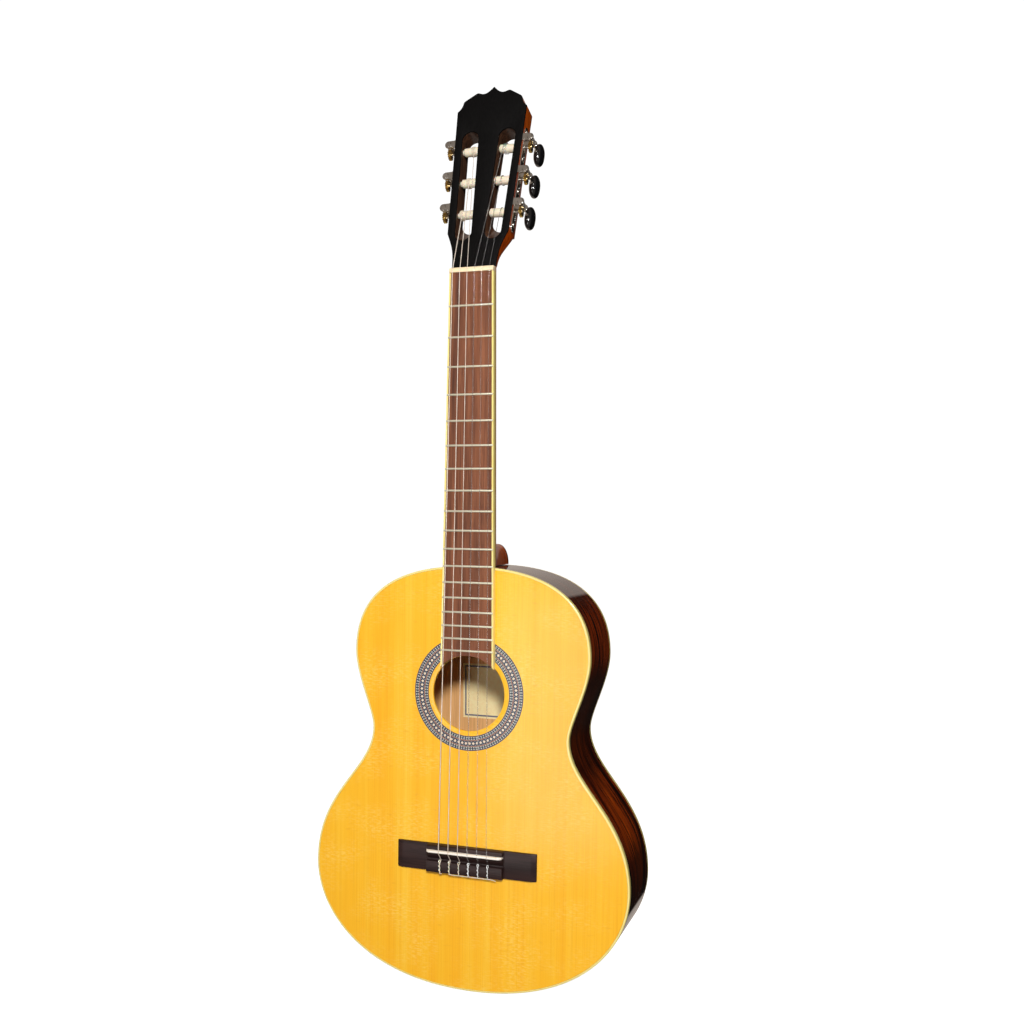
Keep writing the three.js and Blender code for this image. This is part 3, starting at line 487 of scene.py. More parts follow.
def metal(name, bright, dull, roughness, metallic=1.0, dents=0.0):
    paint = Paint(name, roughness, metallic=metallic)
    cloud = paint.noise((90, 90, 90), detail=4)
    scratches = paint.noise((700, 1400, 700), detail=3)
    paint.set("Base Color", paint.ramp(cloud, (0.3, dull), (0.7, bright)))
    paint.set("Roughness", paint.grey(cloud, 0.3, 0.7, roughness * 1.5, roughness * 0.8))
    dented = paint.maths("MULTIPLY", paint.noise((320, 320, 320)), dents)
    paint.bump(paint.maths("ADD", scratches, dented), 0.012)
    return paint.material


def wound_string():
    """Silver wire wound close round a core, as ridges across the string."""
    paint = Paint("wound_string", 0.35, metallic=0.35)
    wave = paint.node("ShaderNodeTexWave", wave_type="BANDS", bands_direction="Z")
    paint.feed(wave.inputs["Vector"], paint.place)
    wave.inputs["Scale"].default_value = 1000
    tarnish = paint.noise((200, 200, 60), detail=3)
    paint.set("Base Color", paint.ramp(tarnish, (0.3, (0.74, 0.63, 0.52)), (0.7, (0.92, 0.82, 0.72))))
    paint.bump(wave.outputs["Fac"], 0.05)
    return paint.material


def nylon():
    paint = Paint("nylon", 0.04)
    cloud = paint.noise((300, 300, 60), detail=2)
    paint.set("Base Color", paint.ramp(cloud, (0.3, (0.80, 0.80, 0.80)), (0.7, (0.93, 0.93, 0.93))))
    paint.set("Transmission Weight", 0.94)
    paint.set("IOR", 1.5)
    return paint.material


def paper():
    """Cream paper with nothing on it."""
    paint = Paint("paper", 0.85, specular=0.2)
    fibres = paint.noise((300, 300, 300), detail=4)
    paint.set("Base Color", paint.ramp(fibres, (0.3, (0.97, 0.76, 0.38)), (0.7, (1.0, 0.86, 0.48))))
    paint.bump(fibres, 0.05)
    return paint.material


def ink():
    paint = Paint("ink", 0.8, specular=0.2)
    fibres = paint.noise((400, 400, 400), detail=3)
    paint.set("Base Color", paint.ramp(fibres, (0.3, (0.12, 0.12, 0.17)), (0.7, (0.20, 0.20, 0.26))))
    return paint.material


FINISHES = {
    "soundboard_spruce": spruce_top,
    "brace_spruce": bare_spruce,
    "rosewood": rosewood,
    "rosewood_back": rosewood_back,
    "rosette_inlay": rosette_inlay,
    "binding": lambda: smooth_plastic(
        "binding", (0.93, 0.80, 0.30), (0.88, 0.72, 0.22), 0.3, coat=0.6, waves=60),
    "mahogany": mahogany,
    "slot_wood": slot_wood,
    "lining_wood": lining_wood,
    "head_black": head_black,
    "fingerboard_rosewood": board_wood,
    "bridge_wood": bridge_wood,
    "bone": bone,
    "white_bone": lambda: smooth_plastic(
        "white_bone", (0.98, 0.93, 0.84), (0.94, 0.87, 0.76), 0.35, coat=0.3, waves=60),
    "roller_ivory": lambda: smooth_plastic(
        "roller_ivory", (0.84, 0.76, 0.60), (0.78, 0.68, 0.50), 0.35, coat=0.3, subsurface=0.2, waves=120),
    "button_black": lambda: smooth_plastic(
        "button_black", (0.006, 0.006, 0.007), (0.004, 0.004, 0.004), 0.15, coat=1.0, waves=80),
    "nickel": lambda: metal("nickel", (0.95, 0.92, 0.87), (0.66, 0.62, 0.56), 0.12, dents=12.0),
    "fret_nickel": lambda: metal(
        "fret_nickel", (0.78, 0.75, 0.58), (0.66, 0.63, 0.48), 0.36, metallic=0.45),
    "brass": lambda: metal("brass", (0.75, 0.52, 0.16), (0.42, 0.27, 0.07), 0.25),
    "nylon": nylon,
    "wound_string": wound_string,
    "nylon_white": lambda: smooth_plastic(
        "nylon_white", (0.86, 0.87, 0.86), (0.72, 0.74, 0.74), 0.22, coat=0.5, waves=300),
    "wound_ivory": lambda: smooth_plastic(
        "wound_ivory", (0.80, 0.70, 0.55), (0.62, 0.52, 0.38), 0.4, coat=0.2, waves=400),
    "paper": paper,
    "ink": ink,
}
painted = {}


def finish_of(name):
    if name not in painted:
        painted[name] = FINISHES[name]()
    return painted[name]


# ---------------------------------------------------------------- meshes


def link_mesh(name, mesh, finish, body="root", crease=35):
    for polygon in mesh.polygons:
        polygon.use_smooth = True
    mesh.set_sharp_from_angle(angle=math.radians(crease))
    made = bpy.data.objects.new(name, mesh)
    bpy.context.scene.collection.objects.link(made)
    mesh.materials.append(finish_of(finish))
    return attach(made, body)


def mesh_of(name, shape):
    """A mesh in metres from points in millimetres and the faces over them."""
    points, faces = shape
    mesh = bpy.data.meshes.new(name)
    mesh.from_pydata([Vector(p) * MM for p in points], [], faces)
    edit = bmesh.new()
    edit.from_mesh(mesh)
    bmesh.ops.remove_doubles(edit, verts=edit.verts, dist=2e-6)
    bmesh.ops.dissolve_degenerate(edit, edges=edit.edges, dist=1e-7)
    bmesh.ops.recalc_face_normals(edit, faces=edit.faces)
    edit.to_mesh(mesh)
    edit.free()
    return mesh


def add_mesh(name, shape, finish, body="root", frame=None, crease=35):
    if frame is not None:
        shape = placed(shape, frame)
    return link_mesh(name, mesh_of(name, shape), finish, body, crease)


def carved(name, shape, cutters):
    """A mesh of a closed shape with others cut out of it."""
    shapes = [
        bpy.data.objects.new(f"{name}_{k}", mesh_of(name, each))
        for k, each in enumerate([shape, *cutters])
    ]
    whole, *holes = shapes
    for each in shapes:
        bpy.context.scene.collection.objects.link(each)
    for hole in holes:
        cut = whole.modifiers.new("cut", "BOOLEAN")
        cut.object = hole
        cut.solver = "EXACT"
    depsgraph = bpy.context.evaluated_depsgraph_get()
    mesh = bpy.data.meshes.new_from_object(whole.evaluated_get(depsgraph))
    for each in shapes:
        bpy.data.objects.remove(each)
    return mesh


def skin(rings, loop=False, ends=True):
    """A skin over closed rings of equal length: looped back to the first ring, or capped at its ends."""
    count = len(rings[0])
    points = [p for ring in rings for p in ring]
    faces = []
    pairs = len(rings) if loop else len(rings) - 1
    for r in range(pairs):
        after = (r + 1) % len(rings) * count
        for i in range(count):
            j = (i + 1) % count
            faces.append((r * count + i, r * count + j, after + j, after + i))
    if ends and not loop:
        faces.append(tuple(range(count)))
        faces.append(tuple(range(len(points) - count, len(points))))
    return points, faces


def together(*shapes):
    """Several shapes as one."""
    points, faces = [], []
    for more_points, more_faces in shapes:
        start = len(points)
        points += [Vector(p) for p in more_points]
        faces += [tuple(start + i for i in face) for face in more_faces]
    return points, faces


def placed(shape, frame):
    points, faces = shape
    return [frame @ Vector(p) for p in points], faces


def turned(profile, sides=32):
    """A turned shape about the y axis, from pairs of radius and distance along it."""
    rings = []
    for radius, along in profile:
        rings.append([
            (radius * math.cos(2 * math.pi * i / sides), along, radius * math.sin(2 * math.pi * i / sides))
            for i in range(sides)
        ])
    return skin(rings)


def area_of(loop):
    return sum(a[0] * b[1] - b[0] * a[1] for a, b in zip(loop, loop[1:] + loop[:1])) / 2


def moved_in(loop, inset):
    """A closed outline moved inwards, or outwards where inset is negative."""
    if abs(inset) < 1e-9:
        return list(loop)
    turn = 1 if area_of(loop) > 0 else -1
    moved = []
    for i, here in enumerate(loop):
        before = Vector(here) - Vector(loop[i - 1])
        after = Vector(loop[(i + 1) % len(loop)]) - Vector(here)
        before.normalize()
        after.normalize()
        normal = Vector((-before[1] - after[1], before[0] + after[0]))
        if normal.length < 1e-6:
            moved.append(tuple(here))
            continue
        normal.normalize()
        cosine = max(0.5, normal.dot(Vector((-before[1], before[0]))))
        moved.append(tuple(Vector(here) + normal * (turn * inset / cosine)))
    return moved


def edge_profile(y0, y1, round0, round1, steps=3):
    """Pairs of depth and inset down the edge of a plate whose rims are rounded."""
    pairs = []
    for radius, edge, sign in ((round0, y0, 1), (round1, y1, -1)):
        arc = []
        for k in range(steps + 1 if radius else 1):
            angle = math.pi / 2 * k / steps
            arc.append((edge + sign * radius * (1 - math.cos(angle)), radius * (1 - math.sin(angle))))
        pairs += arc if sign > 0 else arc[::-1]
    return pairs


def plate(name, outline, holes, y0, y1, finish, round0=0.0, frame=None):
    """A flat piece drawn in x and z, from y0 to y1, with holes through it and its rim at y0 rounded."""
    frame = frame or Matrix.Identity(4)
    edit = bmesh.new()
    rims = ([], [])
    for loop, sign in [(outline, 1)] + [(hole, -1) for hole in holes]:
        rings = []
        for y, inset in edge_profile(y0, y1, round0, 0):
            ring = [frame @ Vector((x, y, z)) * MM for x, z in moved_in(loop, sign * inset)]
            rings.append([edit.verts.new(p) for p in ring])
        for lower, upper in zip(rings, rings[1:]):
            for i in range(len(lower)):
                j = (i + 1) % len(lower)
                edit.faces.new((lower[i], lower[j], upper[j], upper[i]))
        for edges, ring in zip(rims, (rings[0], rings[-1])):
            for i in range(len(ring)):
                edges.append(edit.edges.get((ring[i], ring[(i + 1) % len(ring)])))
    for edges in rims:
        bmesh.ops.triangle_fill(edit, edges=edges, use_beauty=True)
    bmesh.ops.recalc_face_normals(edit, faces=edit.faces)
    mesh = bpy.data.meshes.new(name)
    edit.to_mesh(mesh)
    edit.free()
    return link_mesh(name, mesh, finish)


def tube(path, radius, sides=10):
    """A round tube along a path, with its section kept from twisting."""
    points = [Vector(p) for p in path]
    tangents = []
    for i in range(len(points)):
        ahead = points[min(i + 1, len(points) - 1)] - points[max(i - 1, 0)]
        tangents.append(ahead.normalized())
    across = tangents[0].orthogonal().normalized()
    rings = []
    for point, tangent in zip(points, tangents):
        across = (across - tangent * across.dot(tangent)).normalized()
        other = tangent.cross(across)
        rings.append([
            point + (across * math.cos(a) + other * math.sin(a)) * radius
            for a in (2 * math.pi * k / sides for k in range(sides))
        ])
    return skin(rings)


def smooth_path(points, steps=8):
    """A curve through every given point."""
    points = [Vector(p) for p in points]
    ends = [points[0] * 2 - points[1], *points, points[-1] * 2 - points[-2]]
    path = []
    for a, b, c, d in zip(ends, ends[1:], ends[2:], ends[3:]):
        for k in range(steps):
            t = k / steps
            path.append(0.5 * (2 * b + (c - a) * t + (2 * a - 5 * b + 4 * c - d) * t ** 2
                               + (3 * b - a - 3 * c + d) * t ** 3))
    return path + [points[-1]]


def bezier(curve, t):
    (a, b, c, d) = [Vector(p) for p in curve]
    s = 1 - t
    return a * s ** 3 + b * (3 * s * s * t) + c * (3 * s * t * t) + d * t ** 3


# ---------------------------------------------------------------- the body

RIM_STEPS = 36


def half_rim(inset):
    """The treble half of the body's outline, from the heel to the tail."""
    points = []
    for c, curve in enumerate(HALF_OUTLINE):
        for k in range(0 if c == 0 else 1, RIM_STEPS + 1):
            t = k / RIM_STEPS
            here = bezier(curve, t)
            along = (bezier(curve, min(t + 1e-3, 1)) - bezier(curve, max(t - 1e-3, 0))).normalized()
            points.append((here[0] + inset * along[1], here[1] - inset * along[0]))
    points[0] = (0.0, points[0][1])
    points[-1] = (0.0, points[-1][1])
    return points


def rim(inset):
    treble = half_rim(inset)
    return treble + [(-x, z) for x, z in reversed(treble[1:-1])]


ARCH_RADIUS = LOWER_HALF ** 2 / (2 * BACK_ARCH)


def back_y(x, z):
    """Depth of the back's outer face: arched across, and deeper towards the tail."""
    arch = math.sqrt(ARCH_RADIUS ** 2 - x ** 2) - math.sqrt(ARCH_RADIUS ** 2 - LOWER_HALF ** 2)
    return DEPTH_TOP + arch + (DEPTH_TAIL - DEPTH_TOP) * (BODY_TOP - z) / (BODY_TOP - BODY_TAIL)


def soundboard():
    edge = rim(BINDING_WIDE + JOIN)
    angles = [math.atan2(z - HOLE_Z, x) for x, z in edge]

    def circle(radius, y):
        return [(radius * math.cos(a), y, HOLE_Z + radius * math.sin(a)) for a in angles]

    floor = ROSETTE_THICK + 0.1
    rings = [[(x, 0, z) for x, z in edge]]
    rings += [circle(ROSETTE_OUTER + 0.05, y) for y in (0, floor)]
    rings += [circle(ROSETTE_INNER - 0.05, y) for y in (floor, 0)]
    rings += [circle(HOLE_RADIUS + 0.5, 0), circle(HOLE_RADIUS + 0.15, 0.12), circle(HOLE_RADIUS, 0.5)]
    rings += [circle(HOLE_RADIUS, PLATE_THICK), [(x, PLATE_THICK, z) for x, z in edge]]
    piece = add_mesh("soundboard_plate", skin(rings, loop=True), "soundboard_spruce")
    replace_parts(piece, "soundboard")


def rosette():
    rings = []
    for radius, y in ((ROSETTE_INNER, 0), (ROSETTE_OUTER, 0), (ROSETTE_OUTER, ROSETTE_THICK),
                      (ROSETTE_INNER, ROSETTE_THICK)):
        turns = [2 * math.pi * i / 180 for i in range(180)]
        rings.append([(radius * math.cos(a), y, HOLE_Z + radius * math.sin(a)) for a in turns])
    piece = add_mesh("rosette_ring", skin(rings, loop=True), "rosette_inlay")
    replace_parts(piece, "rosette")


def rim_strip(name, node, depth_at):
    """A binding strip round the body; depth_at gives y for a point and a distance from the outer face."""
    profile = [(BINDING_WIDE, 0), (1.3, 0), (0.7, 0.12), (0.28, 0.42), (0.06, 0.85), (0, 1.4),
               (0, BINDING_HIGH), (BINDING_WIDE, BINDING_HIGH)]
    rings = [[(x, depth_at(x, z, down), z) for x, z in rim(inset)] for inset, down in profile]
    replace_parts(add_mesh(name, skin(rings, loop=True), "binding"), node)


def side(sign, name, node):
    outer, inner = half_rim(0), half_rim(SIDE_THICK)
    edge = BINDING_HIGH + 0.05
    sections = []
    for (x0, z0), (x1, z1) in zip(outer, inner):
        x0, x1 = max(x0, JOIN / 2), max(x1, JOIN / 2)
        sections.append([
            (sign * x0, edge, z0), (sign * x0, back_y(x0, z0) - edge, z0),
            (sign * x1, back_y(x1, z1) - edge, z1), (sign * x1, edge, z1),
        ])
    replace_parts(add_mesh(name, skin(sections), "rosewood"), node)


def back_layer(name, from_face, to_face, finish):
    """One layer of the back, between two distances in from its outer face."""
    steps = 28
    rows = []
    for half, z in half_rim(BINDING_WIDE + JOIN):
        across = [half * math.sin(math.pi / 2 * (2 * i / steps - 1)) for i in range(steps + 1)]
        outer = [(x, back_y(x, z) - from_face, z) for x in across]
        inner = [(x, back_y(x, z) - to_face, z) for x in reversed(across)]
        rows.append(outer + inner)
    return add_mesh(name, skin(rows, ends=False), finish)


def label():
    """A plain paper label on the inside of the back, with a printed border and no lettering."""
    x0, x1 = LABEL_X
    z0, z1 = LABEL_Z

    def sheet(inset0, inset1, lift):
        loops = []
        for inset in (inset0, inset1):
            corners = [(x0 + inset, z0 + inset), (x1 - inset, z0 + inset), (x1 - inset, z1 - inset),
                       (x0 + inset, z1 - inset)]
            loop = []
            for (ax, az), (bx, bz) in zip(corners, corners[1:] + corners[:1]):
                loop += [(ax + (bx - ax) * k / 12, az + (bz - az) * k / 12) for k in range(12)]
            loops.append(loop)
        front = [[(x, back_y(x, z) - PLATE_THICK - 0.05 - lift, z) for x, z in loop] for loop in loops]
        rear = [[(x, y + 0.12, z) for x, y, z in loop] for loop in reversed(front)]
        return skin(front + rear, loop=True)

    steps = 12
    rows = []
    for i in range(steps + 1):
        z = z0 + (z1 - z0) * i / steps
        across = [x0 + (x1 - x0) * k / steps for k in range(steps + 1)]
        rows.append([(x, back_y(x, z) - PLATE_THICK - 0.15, z) for x in across]
                    + [(x, back_y(x, z) - PLATE_THICK - 0.03, z) for x in reversed(across)])
    add_mesh("label_paper", skin(rows), "paper")
    add_mesh("label_border", sheet(2.4, 4.2, 0.16), "ink")


def body():
    soundboard()
    rosette()
    rim_strip("binding_front", "top_binding", lambda x, z, down: down)
    rim_strip("binding_rear", "back_binding", lambda x, z, down: back_y(x, z) - down)
    side(1, "rib_treble", "side_treble")
    side(-1, "rib_bass", "side_bass")
    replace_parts(back_layer("back_leaves", 0, 1.4, "rosewood_back"), "back")
    back_layer("back_inner_veneer", 1.41, PLATE_THICK, "lining_wood")
    label()


# ---------------------------------------------------------------- neck and head

HEAD = Matrix.Translation((0, -0.5, 6)) @ Matrix.Rotation(-HEAD_TILT, 4, "X")


def board_half(z):
    return NUT_HALF + (JOINT_HALF - NUT_HALF) * z / BODY_TOP


def rounded(half, depth, squareness, place, steps=40):
    """A ring with a flat front and a rounded back."""
    ring = []
    for i in range(steps + 1):
        angle = math.pi * i / steps
        across, down = math.cos(angle), max(math.sin(angle), 0)
        if i in (0, steps):
            down = 0
        x = half * math.copysign(abs(across) ** (2 / squareness), across)
        ring.append(place(x, depth * down ** (2 / squareness)))
    return ring


def neck_shaft():
    rings = []
    for k in range(25):
        z = BODY_TOP + 0.4 + (6 - BODY_TOP - 0.4) * k / 24
        depth = 15 + 2.5 * z / BODY_TOP
        half = board_half(min(z, 0))
        rings.append(rounded(half, depth, 2.3, lambda x, y, z=z: Vector((x, y + 0.01, z))))
    under = VENEER + JOIN
    steps = 18
    for k in range(1, steps + 1):
        grown = k / steps
        half, s = bezier(FLARE, grown)
        depth = 12.4 + (HEAD_THICK - under - 12.4) * grown ** 0.8
        squareness = 2.5 + 9 * grown ** 2
        rings.append(rounded(
            half, depth, squareness, lambda x, y, s=s: HEAD @ Vector((x, under + y, s))))
    last = HEAD_CORNER[1] + 1.5
    half = HEAD_CORNER[0] - 0.2
    depth = HEAD_THICK - under - 0.15
    rings.append(rounded(half, depth, 11.5, lambda x, y: HEAD @ Vector((x, under + y, last))))
    mesh = carved("neck_shaft", skin(rings), [slot_cutter(1), slot_cutter(-1)])
    piece = link_mesh("neck_shaft", mesh, "mahogany", crease=50)
    darken_slots(piece)
    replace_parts(piece, "neck")


def neck_heel():
    foot = DEPTH_TOP + BACK_ARCH - 3
    start = BODY_TOP + 0.4

    def ring(y, lift=0.0):
        share = (foot - min(y, foot)) / (foot - 9)
        long = 24 + 42 * share ** 5
        half = 14 + 10 * share ** 1.3
        return rounded(half - lift, long - lift, 2.1, lambda x, z: Vector((x, y, start + z)))

    levels = [9 + (foot - 9) * (k / 24) ** 1.5 for k in range(25)]
    add_mesh("neck_heel", skin([ring(y) for y in levels]), "mahogany", crease=50)
    cap = [ring(foot + 0.05), ring(foot + 2.4), ring(foot + 2.8, 0.15), ring(foot + 2.98, 0.6)]
    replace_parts(add_mesh("heel_cap_plate", skin(cap), "bridge_wood"), "heel_cap")


def quadratic(a, b, c, steps):
    """Points along a curve from a to c that leans towards b, without a itself."""
    a, b, c = Vector(a), Vector(b), Vector(c)
    shares = [k / steps for k in range(1, steps + 1)]
    return [tuple(a * (1 - t) ** 2 + b * 2 * t * (1 - t) + c * t ** 2) for t in shares]


def head_outline(with_flare):
    """The head's outline, with a lobe each side of a pointed crest."""
    half = [HEAD_CORNER, HEAD_SHOULDER]
    half += quadratic(HEAD_SHOULDER, (36.5, 202), (35.6, 209), 8)
    half += quadratic((35.6, 209), (35.2, 210.7), (33.5, 211.8), 5)
    half += [(21, 219.6)]
    half += quadratic((21, 219.6), (19.2, 220.7), (17, 219.8), 5)
    crest = ((17, 219.8), (11, 217.1), (7.5, 218.1), (0, 226.5))
    half += [tuple(bezier(crest, k / 10)) for k in range(1, 11)]
    if with_flare:
        half = [tuple(bezier(FLARE, k / 14)) for k in range(14)] + half
    else:
        half[0] = (HEAD_CORNER[0], HEAD_CORNER[1] + 0.5)
    return half + [(-x, s) for x, s in reversed(half[:-1])]


def slot_outline(sign, grow=0.0, up=0.0):
    """A head slot, its low end moved up: two half circles joined by sides that lean with the head's."""
    slope = (SLOT_HIGH[0] - SLOT_LOW[0]) / (SLOT_HIGH[1] - SLOT_LOW[1])
    lean = math.atan(slope)
    radius = SLOT_HALF + grow
    low = (SLOT_LOW[0] + slope * up, SLOT_LOW[1] + up)
    points = []
    for (x, s), start in ((low, math.pi), (SLOT_HIGH, 0.0)):
        for k in range(19):
            angle = start + math.pi * k / 18 - sign * lean
            points.append((sign * x + radius * math.cos(angle), s + radius * math.sin(angle)))
    return points


def darken_slots(piece):
    """Gives the walls of both slots their own finish."""
    piece.data.materials.append(finish_of("slot_wood"))
    into_head = HEAD.inverted()
    low, high = Vector(SLOT_LOW), Vector(SLOT_HIGH)
    for face in piece.data.polygons:
        at = into_head @ (face.center / MM)
        here = Vector((abs(at.x), at.z))
        share = min(max((here - low).dot(high - low) / (high - low).length_squared, 0), 1)
        beside = (here - low.lerp(high, share)).length
        level = abs((into_head.to_3x3() @ face.normal).y) > 0.9
        if beside < SLOT_HALF + 0.3 and not level:
            face.material_index = 1


def slot_cutter(sign):
    """The space of one slot, whose end by the nut is a ramp."""
    rings = []
    for y, up in ((-4, 0), (VENEER, 0), (HEAD_THICK, SLOT_RAMP), (HEAD_THICK + 4, SLOT_RAMP)):
        rings.append([(x, y, s) for x, s in slot_outline(sign, 0.12, up)])
    return placed(skin(rings), HEAD)


def head():
    slots = [slot_outline(1), slot_outline(-1)]
    veneer = plate("head_face", head_outline(True), slots, 0, VENEER + 0.1, "head_black",
                   round0=0.45, frame=HEAD)
    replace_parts(veneer, "head_veneer")
    outline = head_outline(False)
    rings = [[(x, y, s) for x, s in moved_in(outline, inset)]
             for y, inset in edge_profile(VENEER + 0.1, HEAD_THICK, 0, 0.8)]
    mesh = carved("head_block", placed(skin(rings), HEAD), [slot_cutter(1), slot_cutter(-1)])
    darken_slots(link_mesh("head_block", mesh, "mahogany"))


# ---------------------------------------------------------------- fingerboard, nut, bridge and saddle

BOARD_ARC = HOLE_RADIUS + 0.5


def arc_z(x):
    return HOLE_Z + math.sqrt(BOARD_ARC ** 2 - x * x)


def edge_end(inset):
    """Where the edge of the board, moved in by inset, meets the arc round the soundhole."""
    z = -440.0
    for _ in range(20):
        z = arc_z(board_half(z) - inset)
    return board_half(z) - inset, z


def fingerboard():
    own = BOARD_BINDING + 0.03
    x_end, z_end = edge_end(own)
    arc = [x_end * (1 - 2 * k / 32) for k in range(33)]
    outline = [(-(NUT_HALF - own), 0), (NUT_HALF - own, 0)] + [(x, arc_z(x)) for x in arc]
    board = plate("fingerboard_wood", outline, [], -BOARD_THICK, 0, "fingerboard_rosewood")
    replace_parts(board, "fingerboard")
    for sign, side_name in ((1, "treble"), (-1, "bass")):
        x0, z0 = edge_end(0)
        strip = [(NUT_HALF, 0), (x0, z0), ((x0 + x_end) / 2, arc_z((x0 + x_end) / 2)), (x_end, z_end),
                 (NUT_HALF - BOARD_BINDING, 0)]
        strip = [(sign * x, z) for x, z in strip]
        piece = plate(f"board_binding_{side_name}", strip, [], -BOARD_THICK, 0, "binding", round0=0.25)
        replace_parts(piece, f"fingerboard_binding_{side_name}")


def fret(number):
    """A crowned bar across the board, with its ends rounded over."""
    z = -SCALE * (1 - 2 ** (-number / 12))
    half = board_half(z) - 0.4
    rings = []
    ends = [(0, 0.08), (0.15, 0.5), (0.45, 0.82), (0.9, 1.0)]
    stations = [(-half + inset, grow) for inset, grow in ends]
    stations += [(half - inset, grow) for inset, grow in ends[::-1]]
    for x, grow in stations:
        crown = [(x, -BOARD_THICK + 0.3, z - FRET_WIDTH / 2)]
        for k in range(11):
            angle = math.pi * k / 10
            lift = FRET_HIGH * grow * math.sin(angle) ** 0.8 if 0 < k < 10 else 0
            crown.append((x, -BOARD_THICK - lift, z - FRET_WIDTH / 2 * math.cos(angle)))
        crown.append((x, -BOARD_THICK + 0.3, z + FRET_WIDTH / 2))
        rings.append(crown)
    return skin(rings)


def frets():
    for number in range(1, FRETS + 1):
        add_mesh(f"fret_{number:02d}", fret(number), "fret_nickel", crease=60)


def string_x(n, span):
    """String 1 is the highest and lies on the treble side."""
    return span / 2 - (n - 1) * span / 5


def nut():
    """The nut, with a notch for each string in its rounded top."""
    xs = [-NUT_HALF + 0.02, -NUT_HALF + 0.35]
    for n in range(6, 0, -1):
        centre = string_x(n, NUT_SPAN)
        r = STRING_RADIUS[n - 1]
        xs += [centre + share * r for share in (-2, -1, -0.5, 0, 0.5, 1, 2)]
    xs += [NUT_HALF - 0.35, NUT_HALF - 0.02]
    rings = []
    for x in xs:
        dip = 0.0
        for n in range(1, 7):
            r = STRING_RADIUS[n - 1]
            off = abs(x - string_x(n, NUT_SPAN))
            if off < r * 0.99:
                dip = math.sqrt(r * r - off * off) * 0.5
        shy = 0.35 if abs(x) > NUT_HALF - 0.1 else 0.0
        top = -NUT_TOP + dip + shy
        rings.append([
            (x, 0, shy), (x, top + 0.4, shy), (x, top + 0.12, shy + 0.12), (x, top, shy + 0.45),
            (x, top + 0.25, 2.2), (x, top + 0.75, 3.8), (x, top + 1.5, NUT_THICK - 0.9 - shy),
            (x, top + 2.4, NUT_THICK - shy), (x, 0, NUT_THICK - shy),
        ])
    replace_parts(add_mesh("nut_bone", skin(rings), "bone", crease=40), "nut")


def saddle():
    """A thin bone strip with a rounded top and slanted ends."""
    rings = []
    half = SADDLE_THICK / 2
    crown = [(half, 0.9), (half - 0.15, 0.4), (half - 0.5, 0.08), (0.3, 0)]
    crown += [(-across, down) for across, down in reversed(crown)]
    ends = ((0, 3.4), (0.5, 2.4), (3, 0.25), (4, 0))
    stations = [(-SADDLE_HALF + inset, drop) for inset, drop in ends]
    stations += [(SADDLE_HALF - inset, drop) for inset, drop in ends[::-1]]
    for x, drop in stations:
        top = [(x, drop + down - SADDLE_TOP, SADDLE_Z + across) for across, down in crown]
        rings.append([(x, -3.3, SADDLE_Z + half), *top, (x, -3.3, SADDLE_Z - half)])
    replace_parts(add_mesh("saddle_bone", skin(rings), "white_bone", crease=50), "saddle")


def bridge_wings():
    """Both wings as one low bar, thinned and rounded towards its ends."""
    tip = ((0, 1.2, 0.5), (0.4, 1.7, 0.15), (1.2, 2.0, 0), (4.6, 3.2, 0), (6.2, 3.55, 0),
           (8, WING_HIGH, 0))
    rings = [(-BRIDGE_HALF + x, high, inset) for x, high, inset in tip]
    rings += [(-x, high, inset) for x, high, inset in reversed(rings)]
    sections = []
    for x, high, inset in rings:
        low, top = BRIDGE_BOTTOM + inset, BRIDGE_TOP - inset
        sections.append([
            (x, -0.02, low), (x, 0.8 - high, low), (x, 0.25 - high, low + 0.2), (x, -high, low + 0.8),
            (x, -high, top - 0.8), (x, 0.25 - high, top - 0.2), (x, 0.8 - high, top), (x, -0.02, top),
        ])
    return skin(sections)


def bridge_centre():
    """The raised middle: the saddle's block, the channel behind it, and the block the strings tie to."""
    groove = SADDLE_THICK / 2 + 0.1
    profile = [
        (-1, BRIDGE_BOTTOM + 0.05), (0.9 - TIE_HIGH, BRIDGE_BOTTOM + 0.05),
        (0.25 - TIE_HIGH, BRIDGE_BOTTOM + 0.3), (-TIE_HIGH, BRIDGE_BOTTOM + 1),
        (-TIE_HIGH, TIE_Z - 0.8), (0.25 - TIE_HIGH, TIE_Z - 0.2), (0.8 - TIE_HIGH, TIE_Z),
        (-CHANNEL - 0.3, TIE_Z), (-CHANNEL, TIE_Z + 0.5),
        (-CHANNEL, CHANNEL_FRONT), (-CHANNEL - 0.4, CHANNEL_FRONT + 0.5),
        (0.4 - RAMP_HIGH, RAMP_BACK - 0.6), (-RAMP_HIGH, RAMP_BACK), (-RAMP_HIGH, SADDLE_Z - groove),
        (-SADDLE_SLOT_FLOOR, SADDLE_Z - groove), (-SADDLE_SLOT_FLOOR, SADDLE_Z + groove),
        (-RAMP_HIGH, SADDLE_Z + groove), (-RAMP_HIGH, BRIDGE_TOP - 2.2),
        (0.35 - RAMP_HIGH, BRIDGE_TOP - 1.5), (-5.8, BRIDGE_TOP - 0.2),
        (-4.8, BRIDGE_TOP - 0.05), (-1, BRIDGE_TOP - 0.05),
    ]
    rings = []
    for x, shy in ((-BRIDGE_CENTRE, 0.5), (0.4 - BRIDGE_CENTRE, 0.0),
                   (BRIDGE_CENTRE - 0.4, 0.0), (BRIDGE_CENTRE, 0.5)):
        rings.append([(x, min(y + shy, -1), z) for y, z in profile])
    return skin(rings)


